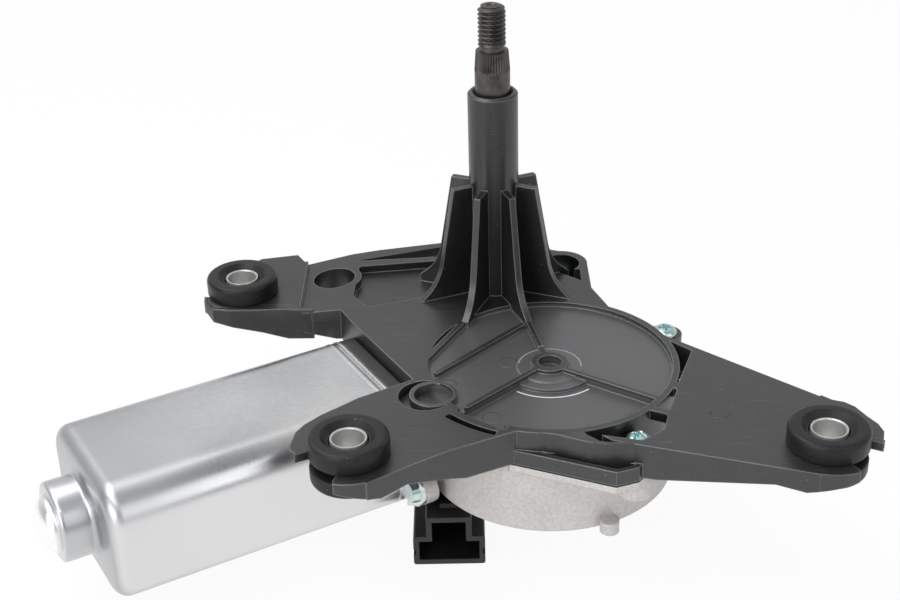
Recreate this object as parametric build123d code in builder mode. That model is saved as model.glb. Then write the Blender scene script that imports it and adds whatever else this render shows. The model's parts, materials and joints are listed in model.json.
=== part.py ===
# Rear wiper motor: a worm-geared motor with an oscillating output shaft in a moulded tower.
# Millimetres. The Z axis is the output shaft, pointing out of the tower. The top ends of the
# three mounting sleeves lie on Z = 0, and +X runs from the left front sleeve to the right one.
import math
import os

from build123d import *

os.makedirs("parts", exist_ok=True)


# ------------------------------------------------------------------ driving dimensions
# Mounting points, in plan
front_seat_span = 120.6
front_seat_left = 38.8
front_seat_ahead = 87.4
rear_seat_left = 75.7
rear_seat_ahead = 0.2

# Steel sleeves and rubber grommets
sleeve_length = 12.0
sleeve_outer_r = 5.0
sleeve_bore_r = 4.1
grommet_flange_r = 10.5
grommet_neck_r = 7.2
grommet_proud = 0.9
grommet_round = 1.4
grommet_funnel = 1.3
grommet_seat = 4.6

# Cover plate, arms and walls
plate_thick = 3.0
cover_depth = 10.0
wall = 2.2
rib_thick = 1.6
fork_clear = 0.25
horn_wall = 3.5
well_r = 5.2
well_ring_r = 6.4

# Gear side
gear_x = 14.0
gear_y = -45.0
rim_r = 35.5
rim_wall = 1.9
recess_drop = 1.5
sector_drop = 2.4
boss_r = 5.2
boss_hole_r = 3.2

# Worm and wheel
axial_module = 1.0
wheel_teeth = 52
worm_pitch_r = 4.0
worm_z = -26.0
wheel_width = 9.0
mesh_backlash = 0.3
worm_turns = 10
worm_root_r = 3.0
worm_tip_r = 4.8
motor_yaw = 29.75

# Motor can
can_width = 48.6
can_height = 34.4
can_corner_r = 10.0
can_sheet = 1.8
can_length = 84.6
can_mouth = -41.0
can_lip = 1.3
can_end_round = 4.0
can_boss_r = 11.0
can_boss_length = 9.0
can_nose_r = 7.3
can_nose_length = 4.5
collar_length = 3.8

# Tower and output shaft
tower_top = 57.4
tower_r = 7.15
tower_rib_top = 29.5
tower_rib_count = 8
tower_rib_top_r = 13.0
tower_rib_mid_r = 17.0
tower_rib_foot_r = 24.0
tower_rib_thick = 1.9
bush_outer_r = 5.85
bush_length = 18.0
shaft_r = 5.0
knurl_low = 64.0
knurl_high = 69.6
knurl_top_r = 4.6
neck_r = 3.4
thread_low = 71.3
thread_r = 3.9
shaft_top = 82.5
running_gap = 0.03

# Link train between the wheel and the output shaft
link_top = -10.2
link_thick = 5.2
keeper_thick = 2.0
pinion_module = 1.25
pinion_teeth = 12
sector_teeth = 24
link_backlash = 0.3
park_angle = -154.2
swing_angle = 120.0
crank_throw = 7.7
hub_r = 4.0
stub_r = 3.4
rod_pin_r = 3.0
crank_pin_r = 3.5

# Die-cast gear housing
housing_wall = 2.6
bowl_floor_top = -33.8
bowl_floor_thick = 2.6
link_floor = -19.4
bowl_taper = 0.9
gasket_thick = 0.5
flange_thick = 2.0
chamber_floor_thick = 2.5
tunnel_outer_r = 8.0
tunnel_bore_r = 5.6
bowl_round = 3.5
window_half = 4.25
seat_gap = 0.25

# Connector
socket_x = -14.75
socket_mouth_y = -68.0
socket_length = 23.0
socket_width = 19.9
socket_top_width = 12.6
socket_bottom = -55.8
socket_shoulder = -46.4
socket_wall = 1.6
pin_pitch = 3.35
pin_z = -43.5
pin_width = 0.64

# Armature
armature_r = 14.0
core_length = 38.0
core_middle = -91.0
winding_r = 11.5
winding_overhang = 6.0
commutator_r = 8.0
commutator_length = 13.0
commutator_middle = -58.5
armature_shaft_r = 2.95
magnet_inner_r = 14.7
magnet_outer_r = 22.0
magnet_length = 46.0
bearing_r = 6.0
bearing_length = 6.0
ball_r = 2.4
shaft_run_out = 1.0

# Screws
screw_head_r = 3.5
screw_head_high = 2.2
screw_shank_r = 1.9
screw_length = 9.0
front_can_screw = (-28.2, -7.0)
back_can_screw = (28.2, 4.0)

# Axle of the wheel, crank side
axle_r = 4.0
axle_bottom = -36.0
axle_top = -21.9
clip_thick = 0.6
eye_wall = 2.6

# ------------------------------------------------------------------ derived places
left_seat = (-front_seat_left, -front_seat_ahead)
right_seat = (front_seat_span - front_seat_left, -front_seat_ahead)
rear_seat = (-rear_seat_left, -rear_seat_ahead)
gear_centre = (gear_x, gear_y)
plate_top = -grommet_seat
plate_under = plate_top - plate_thick
cover_bottom = plate_top - cover_depth
flange_top = cover_bottom - gasket_thick
well_floor = cover_bottom + plate_thick - 0.5

wheel_pitch_r = axial_module * wheel_teeth / 2
worm_offset = wheel_pitch_r + worm_pitch_r
thread_pitch = math.pi * axial_module
worm_length = thread_pitch * worm_turns
yaw = math.radians(motor_yaw)
along = Vector(math.cos(yaw), math.sin(yaw), 0)
across = Vector(-math.sin(yaw), math.cos(yaw), 0)
shaft_finish = worm_length / 2 + shaft_run_out
tunnel_bore_end = shaft_finish + 2 * ball_r + 0.1
tunnel_end = tunnel_bore_end + wall
worm_middle = Vector(gear_x, gear_y, worm_z) + across * worm_offset

pinion_r = pinion_module * pinion_teeth / 2
sector_r = pinion_module * sector_teeth / 2
keeper_length = pinion_r + sector_r
link_share = pinion_r / keeper_length
link_bottom = link_top - link_thick
keeper_top = link_bottom - 0.3
keeper_bottom = keeper_top - keeper_thick
wheel_top = worm_z + wheel_width / 2
wheel_bottom = worm_z - wheel_width / 2
bowl_bottom = bowl_floor_top - bowl_floor_thick


def polar(radius, degrees, centre=(0, 0)):
    turn = math.radians(degrees)
    return (centre[0] + radius * math.cos(turn), centre[1] + radius * math.sin(turn))


def on_motor(t, side=0.0, up=0.0):
    # A point t along the armature axis from the foot of the wheel's radius.
    return worm_middle + along * t + across * side + Vector(0, 0, up)


def motor_plane(t):
    # Square to the armature axis: local x to the side, local y up.
    return Plane(origin=on_motor(t), x_dir=across, z_dir=along)


def motor_plan(z):
    # Level plane at z, with local x along the armature axis.
    return Plane(origin=on_motor(0, 0, z - worm_z), x_dir=along, z_dir=(0, 0, 1))


# The keeper swings about the shaft; the rod stays parallel to itself over the whole stroke.
rod_pivot = polar(keeper_length, park_angle)
mid_angle = park_angle + swing_angle * link_share / 2
mid_pivot = polar(keeper_length, mid_angle)
rod_heading = math.degrees(math.atan2(gear_y - mid_pivot[1], gear_x - mid_pivot[0]))
rod_length = math.hypot(gear_y - mid_pivot[1], gear_x - mid_pivot[0])
crank_point = polar(rod_length, rod_heading, rod_pivot)

# Screws of the cover: in the front pocket, on the side lug, in the rear ear and in the left well
front_screw = polar(40.0, -58.3, gear_centre)
side_screw = polar(42.0, 34.8, gear_centre)
ear_screw = (20.5, 13.2)
well_screw = (-17.9, -60.4)
rear_hole = (-48.8, 7.2)
front_pocket_floor = plate_top - 5.1


def involute_outline(module, teeth, backlash, points=4):
    # Corner points of a spur gear outline, with a tooth centred on +X.
    pitch = module * teeth / 2
    base = pitch * math.cos(math.radians(20))
    tip = pitch + 0.9 * module
    root = pitch - 1.15 * module
    half = math.pi / (2 * teeth) - backlash / (2 * pitch)
    lean = math.tan(math.radians(20)) - math.radians(20)
    start = max(base, root)
    flank = []
    for step in range(points):
        radius = start + (tip - start) * step / (points - 1)
        press = math.acos(min(1.0, base / radius))
        flank.append((radius, half + lean - (math.tan(press) - press)))
    corners = []
    for tooth in range(teeth):
        middle = 2 * math.pi * tooth / teeth
        side = [(root, flank[0][1])] + flank if root < base - 0.05 else flank
        corners += [(r, middle - a) for r, a in side]
        corners += [(r, middle + a) for r, a in reversed(side)]
    return [(r * math.cos(a), r * math.sin(a)) for r, a in corners]


# ------------------------------------------------------------------ outlines used by several pieces
fork_reach = grommet_flange_r + horn_wall
gap_line = can_mouth + collar_length + 0.7
gap_back = on_motor(gap_line, 19.8)
gap_front = on_motor(gap_line, -18.2)
gap_back = (gap_back.X, gap_back.Y)
gap_front = (gap_front.X, gap_front.Y)


def arm_end(seat, side):
    # Mirror-image ends of the two front arms: side is +1 on the right and -1 on the left.
    return [(seat[0] + side * 4.0, seat[1] + 8.4), (seat[0] + side * 12.9, seat[1] + 2.9)]


right_back = [(40.0, -25.8), (52.0, -36.6), (86.3, -67.4)]
right_front = [(77.4, -100.8), (28.0, -84.2), (14.0, -70.0)]
left_back = [gap_front, (-30.9, -57.4), (-38.0, -61.8), (-46.5, -69.2)]
left_front = [(-33.9, -101.0), (-20.8, -91.9), (-13.3, -87.2), (4.4, -78.7), (12.0, -70.0)]

with BuildSketch() as right_arm_plan:
    with BuildLine():
        Polyline(*right_back, right_seat, *right_front, close=True)
    make_face()
    with BuildSketch(mode=Mode.PRIVATE) as right_tip:
        for spot, radius in zip(arm_end(right_seat, 1), (10.6, 2.6)):
            with Locations(spot):
                Circle(radius)
        with Locations(right_seat, right_back[2]):
            Circle(3.0)
        make_hull()
    add(right_tip.sketch)
    with Locations(right_seat):
        Circle(fork_reach)

with BuildSketch() as left_arm_plan:
    with BuildLine():
        Polyline(*left_back, left_seat, *left_front, close=True)
    make_face()
    with BuildSketch(mode=Mode.PRIVATE) as left_tip:
        for spot, radius in zip(arm_end(left_seat, -1), (10.6, 2.6)):
            with Locations(spot):
                Circle(radius)
        with Locations(left_seat, left_back[3]):
            Circle(3.0)
        make_hull()
    add(left_tip.sketch)
    with Locations(left_seat):
        Circle(fork_reach)

with BuildSketch() as rear_arm_plan:
    with BuildLine():
        Polyline(
            (-16.8, 28.4), (-35.6, 24.5), (-58.6, 17.6), (-61.2, 22.3), (-72.2, 20.1),
            (-83.0, 9.5), (-87.0, -3.0), (-86.4, -8.7), (-71.2, -9.6), (-56.0, -13.0),
            (-45.8, -13.0), gap_back, (-10.0, -10.0), (0.0, 20.0), close=True,
        )
    make_face()
    fillet(rear_arm_plan.vertices().group_by(Axis.X)[0:3], 2.0)

with BuildSketch() as body_plan:
    with Locations(gear_centre):
        Circle(rim_r)
    with BuildLine():
        Polyline(
            gap_back, gap_front, (-20.0, -60.0), (10.0, -60.0), (33.0, -15.6),
            (28.6, -3.0), (28.4, 13.0), (20.5, 21.2), (0.0, 29.0), (-16.8, 28.4), (-30.0, 0.0),
            close=True,
        )
    make_face()
    with Locations(ear_screw):
        Circle(8.0)

with BuildSketch() as cover_plan:
    add(body_plan.sketch)
    add(right_arm_plan.sketch)
    add(left_arm_plan.sketch)
    add(rear_arm_plan.sketch)

# The joint face between cover and housing, gear circle and link chamber in one
with BuildSketch() as case_plan:
    with Locations(gear_centre):
        Circle(rim_r)
    with BuildLine():
        Polyline(
            gap_back, gap_front, (-18.0, -62.0), (10.0, -60.0), (32.0, -15.6),
            (19.0, 5.0), (12.0, 13.5), (-12.0, 13.5), (-27.0, 6.0), close=True,
        )
    make_face()
    with BuildLine():
        Polyline((1.5, -78.8), (28.6, -90.2), (34.6, -88.0), (40.5, -80.0), (30.0, -68.0), close=True)
    make_face()
    with Locations(ear_screw):
        Circle(7.0)
    with Locations(well_screw):
        Circle(well_ring_r)
    with Locations(front_screw, polar(38.0, 34.8, gear_centre), side_screw):
        Circle(5.0)

with BuildSketch() as case_inner:
    add(case_plan.sketch)
    offset(amount=-wall, mode=Mode.REPLACE)

with BuildSketch() as chamber_plan:
    with BuildLine():
        Polyline(
            gap_back, gap_front, (-18.0, -62.0), (10.0, -60.0), (32.0, -15.6),
            (19.0, 5.0), (12.0, 13.5), (-12.0, 13.5), (-27.0, 6.0), close=True,
        )
    make_face()

recess_floor = plate_top - recess_drop
sector_floor = plate_top - sector_drop
ceiling = link_top + 1.2
ledge_top = cover_bottom + 4.2
screws = [front_screw, side_screw, ear_screw, well_screw]
seats = [left_seat, right_seat, rear_seat]
fork_ways = [207.0, -27.0, 168.0]


def bar(start, end, thick):
    # A straight rib in plan, with round ends.
    run = math.hypot(end[0] - start[0], end[1] - start[1])
    turn = math.degrees(math.atan2(end[1] - start[1], end[0] - start[0]))
    with Locations(((start[0] + end[0]) / 2, (start[1] + end[1]) / 2)):
        SlotCenterToCenter(run, thick, rotation=turn)


# ------------------------------------------------------------------ cover with arms and tower
with BuildPart() as cover:
    with BuildSketch(Plane.XY.offset(plate_top)):
        add(cover_plan.sketch)
    extrude(amount=-cover_depth)
    with BuildSketch(Plane.XY.offset(cover_bottom)):
        add(cover_plan.sketch)
        offset(amount=-wall, mode=Mode.REPLACE)
    extrude(amount=cover_depth - plate_thick, mode=Mode.SUBTRACT)

    # wall round the gear circle and the link chamber, and the flange ledge outside it
    with BuildSketch(Plane.XY.offset(cover_bottom)):
        add(case_plan.sketch)
        add(case_inner.sketch, mode=Mode.SUBTRACT)
        add(cover_plan.sketch, mode=Mode.INTERSECT)
    extrude(amount=cover_depth - 0.5)
    with BuildSketch(Plane.XY.offset(cover_bottom)):
        add(case_plan.sketch)
        add(cover_plan.sketch, mode=Mode.SUBTRACT)
        add(case_inner.sketch, mode=Mode.SUBTRACT)
        with Locations(front_screw, side_screw):
            Circle(5.0)
    extrude(amount=ledge_top - cover_bottom)
    with BuildSketch(Plane.XY.offset(ledge_top)):
        add(case_plan.sketch)
        add(cover_plan.sketch, mode=Mode.SUBTRACT)
    extrude(amount=-wall)
    with BuildSketch(Plane.XY.offset(ceiling)):
        add(case_plan.sketch)
        add(cover_plan.sketch, mode=Mode.INTERSECT)
    extrude(amount=plate_under - ceiling + 0.5)

    # open underside over the motor can, and round each grommet's lower flange
    with BuildSketch(motor_plan(cover_bottom)):
        with Locations((gap_line - 60.0, 0.4)):
            Rectangle(120.0, can_width + 5.0)
    extrude(amount=plate_under - cover_bottom, mode=Mode.SUBTRACT)
    with BuildSketch(Plane.XY.offset(cover_bottom)):
        with Locations(*seats):
            Circle(grommet_flange_r + 0.7)
    extrude(amount=plate_under - cover_bottom, mode=Mode.SUBTRACT)

    # stiffening ribs under the arms
    with BuildSketch(Plane.XY.offset(cover_bottom + 1.5)):
        bar((44.0, -76.0), (70.5, -86.0), rib_thick)
        bar((50.0, -40.0), (76.0, -77.0), rib_thick)
        bar((60.0, -51.0), (56.0, -89.0), rib_thick)
        bar((-6.0, -71.0), (-27.0, -84.0), rib_thick)
        bar((-36.0, -2.0), (-62.0, 2.6), rib_thick)
        bar((-38.0, 21.0), (-40.0, 0.0), rib_thick)
    extrude(amount=plate_under - cover_bottom - 1.0)

    # screw bosses and the deep wells
    with BuildSketch(Plane.XY.offset(cover_bottom)):
        with Locations(well_screw):
            Circle(well_ring_r)
        with Locations(ear_screw):
            Circle(7.4)
        with Locations(front_screw):
            Circle(4.4)
    extrude(amount=cover_depth - 1.0)
    with BuildSketch(Plane.XY.offset(cover_bottom)):
        with Locations(rear_hole):
            Circle(8.2)
    extrude(amount=cover_depth - 1.0)
    with BuildSketch(Plane.XY.offset(cover_bottom)):
        with Locations(rear_hole):
            Circle(6.3)
    extrude(amount=cover_depth, mode=Mode.SUBTRACT)
    with BuildSketch(Plane.XY.offset(plate_top)):
        with Locations(well_screw):
            Circle(well_r)
        with Locations(ear_screw):
            Circle(5.6)
        with BuildLine():
            Polyline((15.2, 9.0), (26.0, 9.0), (26.0, 1.5), (18.5, 8.0), close=True)
        make_face()
    extrude(amount=-(plate_top - well_floor), mode=Mode.SUBTRACT)

    # gear recess with its ribs and boss
    with BuildSketch(Plane.XY.offset(plate_top)):
        with Locations(gear_centre):
            Circle(rim_r - rim_wall)
    extrude(amount=-recess_drop, mode=Mode.SUBTRACT)
    with BuildSketch(Plane.XY.offset(recess_floor)) as front_sector:
        with Locations(gear_centre):
            Circle(rim_r - rim_wall)
        with BuildLine():
            Polyline(gear_centre, polar(50, -136.4, gear_centre), polar(70, -90, gear_centre),
                     polar(50, -35.6, gear_centre), close=True)
        make_face(mode=Mode.INTERSECT)
        with Locations(gear_centre):
            Circle(12.4, mode=Mode.SUBTRACT)
    extrude(amount=sector_floor - recess_floor, mode=Mode.SUBTRACT)
    with BuildSketch(Plane.XY.offset(sector_floor - 0.3)):
        bar((10.5, -48.0), (-8.9, -66.8), rib_thick)
        bar((17.5, -48.2), (42.0, -64.8), rib_thick)
        bar((7.1, -24.0), (-17.0, -49.3), rib_thick)
        bar((-8.6, -19.5), (-20.9, -43.4), rib_thick)
        bar((8.6, -20.5), (12.6, -40.0), rib_thick)
        with Locations(gear_centre):
            Circle(boss_r)
    extrude(amount=plate_top - sector_floor + 0.3)
    with BuildSketch(Plane.XY.offset(recess_floor - 0.2)):
        with Locations(gear_centre):
            Circle(9.2)
    extrude(amount=0.6)
    with BuildSketch(Plane.XY.offset(plate_top)):
        with Locations(gear_centre):
            Circle(boss_hole_r)
    extrude(amount=-2.6, mode=Mode.SUBTRACT)

    # pockets between the rim and the right arm
    for corners, depth in (
        ([(46.0, -33.0), (53.6, -40.6), (47.9, -57.2), (44.0, -57.4)], 8.0),
        ([(45.0, -59.4), (47.6, -59.2), (44.0, -70.4), (38.0, -68.0)], 8.0),
        ([(20.5, -80.2), (38.0, -70.0), (43.4, -72.6), (41.6, -79.6), (35.4, -84.4)],
         plate_top - front_pocket_floor),
    ):
        with BuildSketch(Plane.XY.offset(plate_top)):
            with BuildLine():
                Polyline(*corners, close=True)
            pocket = make_face()
            fillet(pocket.vertices().sort_by(Axis.X)[-1], 1.5)
            with Locations(gear_centre):
                Circle(rim_r, mode=Mode.SUBTRACT)
        extrude(amount=-depth, mode=Mode.SUBTRACT)

    # long slot, crescent beside the well, and the hollows of the rear arm
    with BuildSketch(Plane.XY.offset(plate_top)):
        bar((-10.4, -68.6), (0.4, -77.0), 2.2)
        with Locations((well_screw[0] - 2.0, well_screw[1] - 0.6)):
            Circle(7.4)
        with Locations(well_screw):
            Circle(well_ring_r, mode=Mode.SUBTRACT)
    extrude(amount=-4.0, mode=Mode.SUBTRACT)
    with BuildSketch(Plane.XY.offset(plate_top)):
        with BuildLine():
            Polyline((-41.5, 13.8), (-13.0, 17.0), (-12.0, 2.0), (-22.7, -6.9), (-37.6, -12.0),
                     (-42.4, -4.8), close=True)
        hollow = make_face()
        fillet(hollow.vertices(), 1.6)
        with Locations(rear_hole):
            Circle(8.3, mode=Mode.SUBTRACT)
    extrude(amount=-2.5, mode=Mode.SUBTRACT)
    with BuildSketch(Plane.XY.offset(plate_top)):
        with BuildLine():
            Polyline((-44.0, 17.4), (-13.0, 26.8), (-12.0, 19.4), close=True)
        channel = make_face()
        fillet(channel.vertices().sort_by(Axis.X)[-2:], 1.2)
    extrude(amount=-5.0, mode=Mode.SUBTRACT)
    with BuildSketch(Plane.XZ.offset(20.0)):
        with BuildLine():
            Polyline((-57.6, plate_top + 0.1), (-57.6, plate_top - 1.2), (-43.0, plate_top + 0.1),
                     close=True)
        make_face()
    extrude(amount=-60.0, mode=Mode.SUBTRACT)

    # forks that take the grommet necks
    for seat, way in zip(seats, fork_ways):
        with BuildSketch(Plane.XY.offset(plate_top + 1.0)):
            with Locations(seat):
                Circle(grommet_neck_r + fork_clear)
            with Locations(polar(14.0, way, seat)):
                Rectangle(28.0, 11.4, rotation=way)
        extrude(amount=-cover_depth - 2.0, mode=Mode.SUBTRACT)

    # tower: tube with eight flared ribs
    with BuildSketch(Plane.XY.offset(ceiling)):
        Circle(tower_r)
    extrude(amount=tower_top - ceiling)
    chamfer(cover.edges().group_by(Axis.Z)[-1], 0.6)
    for step in range(tower_rib_count):
        turn = 360.0 / tower_rib_count * (step + 0.5)
        with BuildSketch(Plane((0, 0, 0), x_dir=polar(1, turn) + (0,), z_dir=polar(1, turn - 90) + (0,))):
            with BuildLine():
                side = Line((tower_rib_top_r, tower_rib_top), (tower_rib_mid_r, 6.3))
                TangentArc(side @ 1, (tower_rib_foot_r, plate_top), tangent=side % 1)
                Polyline((tower_rib_foot_r, plate_top), (tower_rib_foot_r, sector_floor - 0.3),
                         (tower_r - 1.0, sector_floor - 0.3), (tower_r - 1.0, tower_rib_top),
                         (tower_rib_top_r, tower_rib_top))
            rib_face = make_face()
            fillet(rib_face.vertices().sort_by(Axis.Z)[-2:].sort_by_distance((0, 0, 0))[-1], 1.3)
        extrude(amount=tower_rib_thick / 2, both=True)

    # bores for bushes, shaft and seal
    with BuildSketch(Plane.XY.offset(ceiling - 0.1)):
        Circle(bush_outer_r)
    extrude(amount=bush_length + 0.1, mode=Mode.SUBTRACT)
    with BuildSketch(Plane.XY.offset(ceiling)):
        Circle(shaft_r + 0.5)
    extrude(amount=tower_top - ceiling, mode=Mode.SUBTRACT)
    with BuildSketch(Plane.XY.offset(tower_top)):
        Circle(bush_outer_r)
    extrude(amount=-bush_length - 4.5, mode=Mode.SUBTRACT)
    with BuildSketch(Plane.XY.offset(cover_bottom - 1.0)):
        with Locations(*screws):
            Circle(screw_shank_r + 0.3)
    extrude(amount=cover_depth, mode=Mode.SUBTRACT)
cover.part.label = "cover"
export_step(cover.part, "parts/cover.step")


# ------------------------------------------------------------------ die-cast gear housing
gear_axis = Axis((gear_x, gear_y, 0), (0, 0, 1))
gear_section = Plane(origin=(gear_x, gear_y, 0), x_dir=(1, 0, 0), z_dir=(0, -1, 0))
neck_start = can_mouth + collar_length
bearing_start = neck_start
socket_window = (socket_x, gear_y - 0.5)
can_screw_spots = [front_can_screw, back_can_screw]
ear_r = screw_head_r + 0.9

with BuildPart() as gear_housing:
    with BuildSketch(Plane.XY.offset(flange_top)):
        add(case_plan.sketch)
    extrude(amount=-flange_thick)
    with BuildSketch(Plane.XY.offset(flange_top)):
        add(chamber_plan.sketch)
    extrude(amount=link_floor - chamber_floor_thick - flange_top)
    with BuildSketch(gear_section):
        with BuildLine():
            Polyline(
                (0, flange_top), (rim_r, flange_top), (rim_r - bowl_taper, bowl_bottom),
                (0, bowl_bottom), close=True,
            )
        bowl_face = make_face()
        fillet(bowl_face.vertices().group_by(Axis.Z)[0].sort_by(Axis.X)[-1], bowl_round)
    revolve(axis=gear_axis)
    with BuildSketch(Plane.XY.offset(flange_top)):
        with Locations(*screws):
            Circle(5.0)
        bar(polar(33.0, 34.8, gear_centre), side_screw, 8.0)
    extrude(amount=-screw_length)

    # mouth collar, neck and worm tunnel
    with BuildSketch(motor_plane(can_mouth)):
        RectangleRounded(can_width, can_height, can_corner_r)
        with BuildLine():
            Polyline((-22.0, 3.0), (-30.0, -2.4), (-30.0, -11.5), (-22.0, -16.0), close=True)
        make_face()
        with BuildLine():
            Polyline((22.0, -6.0), (30.0, 0.0), (30.0, 8.0), (22.0, 12.0), close=True)
        make_face()
        with Locations(*can_screw_spots):
            Circle(ear_r)
    extrude(amount=collar_length)
    with BuildSketch(Plane.XY.offset(flange_top)):
        with Locations(well_screw):
            Circle(well_ring_r + 0.4)
    extrude(amount=can_height, mode=Mode.SUBTRACT)
    with BuildSketch(motor_plane(neck_start)):
        with Locations((0.8, (flange_top + bowl_bottom) / 2 - worm_z)):
            RectangleRounded(38.0, flange_top - bowl_bottom, 5.0)
    extrude(amount=9.0)
    with BuildSketch(motor_plane(neck_start)):
        Circle(tunnel_outer_r)
    extrude(amount=tunnel_end - neck_start)
    with BuildSketch(motor_plane(tunnel_end)):
        Circle(tunnel_outer_r)
    extrude(amount=1.5, taper=45)

    # foot of the output shaft, with ribs to the tunnel
    with BuildSketch(Plane.XY.offset(link_floor - chamber_floor_thick)):
        Circle(9.0)
    extrude(amount=-2.2)
    with BuildSketch(Plane.XY.offset(link_floor)):
        bar((0.0, 0.0), (-13.0, -22.0), 2.0)
        bar((0.0, 0.0), (12.0, -8.0), 2.0)
        bar((0.0, 0.0), (-22.0, 2.0), 2.0)
        bar((0.0, 0.0), (2.0, 12.0), 2.0)
    extrude(amount=-chamber_floor_thick - 3.6)
    with BuildSketch(Plane.XY.offset(bowl_bottom + 3.0)):
        with Locations((28.3, -78.8)):
            Circle(2.6)
    extrude(amount=-3.6)

    # room for the links, the wheel and the worm
    with BuildSketch(Plane.XY.offset(flange_top)):
        add(chamber_plan.sketch)
        offset(amount=-wall, mode=Mode.REPLACE)
    extrude(amount=link_floor - flange_top, mode=Mode.SUBTRACT)
    with BuildSketch(Plane.XY.offset(flange_top)):
        with Locations(gear_centre):
            Circle(rim_r - housing_wall)
        with Locations(well_screw):
            Circle(5.0, mode=Mode.SUBTRACT)
    extrude(amount=bowl_floor_top - flange_top, mode=Mode.SUBTRACT)
    with BuildSketch(motor_plane(bearing_start + bearing_length)):
        Circle(tunnel_bore_r)
    extrude(amount=tunnel_bore_end - bearing_start - bearing_length, mode=Mode.SUBTRACT)
    with BuildSketch(motor_plane(can_mouth)):
        Circle(bearing_r)
    extrude(amount=collar_length + bearing_length, mode=Mode.SUBTRACT)
    with BuildSketch(motor_plane(can_mouth)):
        RectangleRounded(can_width - 9.0, can_height - 9.0, can_corner_r - 4.5)
        Circle(tunnel_outer_r, mode=Mode.SUBTRACT)
    extrude(amount=collar_length - 1.6, mode=Mode.SUBTRACT)

    # axle boss with its bore, window of the connector, screw holes
    with BuildSketch(Plane.XY.offset(bowl_floor_top - 0.2)):
        with Locations(gear_centre):
            Circle(8.0)
    extrude(amount=wheel_bottom - 0.7 - bowl_floor_top + 0.2)
    with BuildSketch(Plane.XY.offset(axle_bottom)):
        with Locations(gear_centre):
            Circle(axle_r)
    extrude(amount=wheel_bottom - axle_bottom, mode=Mode.SUBTRACT)
    with BuildSketch(Plane.XY.offset(bowl_floor_top)):
        with Locations(socket_window):
            Rectangle(2 * window_half, 5.5)
    extrude(amount=-bowl_floor_thick - 1.0, mode=Mode.SUBTRACT)
    with BuildSketch(Plane.XY.offset(flange_top)):
        with Locations(*screws):
            Circle(screw_shank_r)
    extrude(amount=-screw_length + 1.4, mode=Mode.SUBTRACT)
    with BuildSketch(motor_plane(can_mouth)):
        with Locations(*can_screw_spots):
            Circle(screw_shank_r)
    extrude(amount=collar_length, mode=Mode.SUBTRACT)
gear_housing.part.label = "gear_housing"
export_step(gear_housing.part, "parts/gear_housing.step")


# ------------------------------------------------------------------ motor can
can_end = can_mouth - can_length
boss_end = can_end - can_boss_length
can_section = Plane(origin=on_motor(0), x_dir=along, z_dir=along.cross(Vector(0, 0, 1)))
motor_axis = Axis(on_motor(0), along)

with BuildPart() as motor_can:
    with BuildSketch(motor_plane(can_end)):
        RectangleRounded(can_width, can_height, can_corner_r)
    extrude(amount=can_length)
    fillet(motor_can.faces().sort_by(motor_axis)[0].edges(), can_end_round)
    with BuildSketch(motor_plane(can_end + can_sheet)):
        RectangleRounded(
            can_width - 2 * can_sheet, can_height - 2 * can_sheet, can_corner_r - can_sheet
        )
    extrude(amount=can_length - can_sheet, mode=Mode.SUBTRACT)
    with BuildSketch(can_section):
        with BuildLine():
            Polyline(
                (can_end + 0.5, 0), (can_end + 0.5, can_boss_r + 0.9), (can_end, can_boss_r + 0.9),
                (can_end - 0.7, can_boss_r - 0.7), (can_end - 1.7, can_boss_r - 0.7),
                (can_end - 2.1, can_boss_r), (boss_end, can_boss_r), (boss_end, can_nose_r + 0.4),
                (boss_end - 1.6, can_nose_r), (boss_end - can_nose_length, can_nose_r - 1.2),
                (boss_end - can_nose_length, 0), close=True,
            )
        boss_face = make_face()
        fillet(boss_face.vertices().filter_by(
            lambda v: abs((Vector(v) - on_motor(boss_end)).Z - can_boss_r) < 0.01
            and abs((Vector(v) - on_motor(boss_end)).dot(along)) < 0.01), 2.0)
        fillet(boss_face.vertices().filter_by(
            lambda v: abs((Vector(v) - on_motor(boss_end)).Z - can_nose_r + 1.2) < 0.01), 2.6)
    revolve(axis=motor_axis)
    with BuildSketch(can_section):
        with BuildLine():
            Polyline(
                (can_end + can_sheet, 0), (can_end + can_sheet, can_boss_r - can_sheet),
                (boss_end + can_sheet, can_boss_r - can_sheet), (boss_end + can_sheet, 5.4),
                (boss_end - can_nose_length + can_sheet, 4.2), (boss_end - can_nose_length + can_sheet, 0),
                close=True,
            )
        make_face()
    revolve(axis=motor_axis, mode=Mode.SUBTRACT)
    with BuildSketch(motor_plane(can_mouth - can_lip)):
        RectangleRounded(can_width + 1.0, can_height + 1.0, can_corner_r + 0.5)
        RectangleRounded(can_width - 0.9, can_height - 0.9, can_corner_r - 0.45, mode=Mode.SUBTRACT)
    extrude(amount=-1.0, mode=Mode.SUBTRACT)
    with BuildSketch(motor_plane(can_mouth)):
        with BuildLine():
            Polyline((-23.0, 2.4), (-30.0, -2.4), (-30.0, -11.5), (-23.0, -15.4), close=True)
        make_face()
        with BuildLine():
            Polyline((23.0, -5.0), (30.0, 0.0), (30.0, 8.0), (23.0, 11.0), close=True)
        make_face()
        with Locations(*can_screw_spots):
            Circle(ear_r)
        RectangleRounded(
            can_width - 1.0, can_height - 1.0, can_corner_r - 0.5, mode=Mode.SUBTRACT
        )
        with Locations(*can_screw_spots):
            Circle(screw_shank_r + 0.3, mode=Mode.SUBTRACT)
    extrude(amount=-can_lip)
motor_can.part.label = "motor_can"
export_step(motor_can.part, "parts/motor_can.step")


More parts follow.
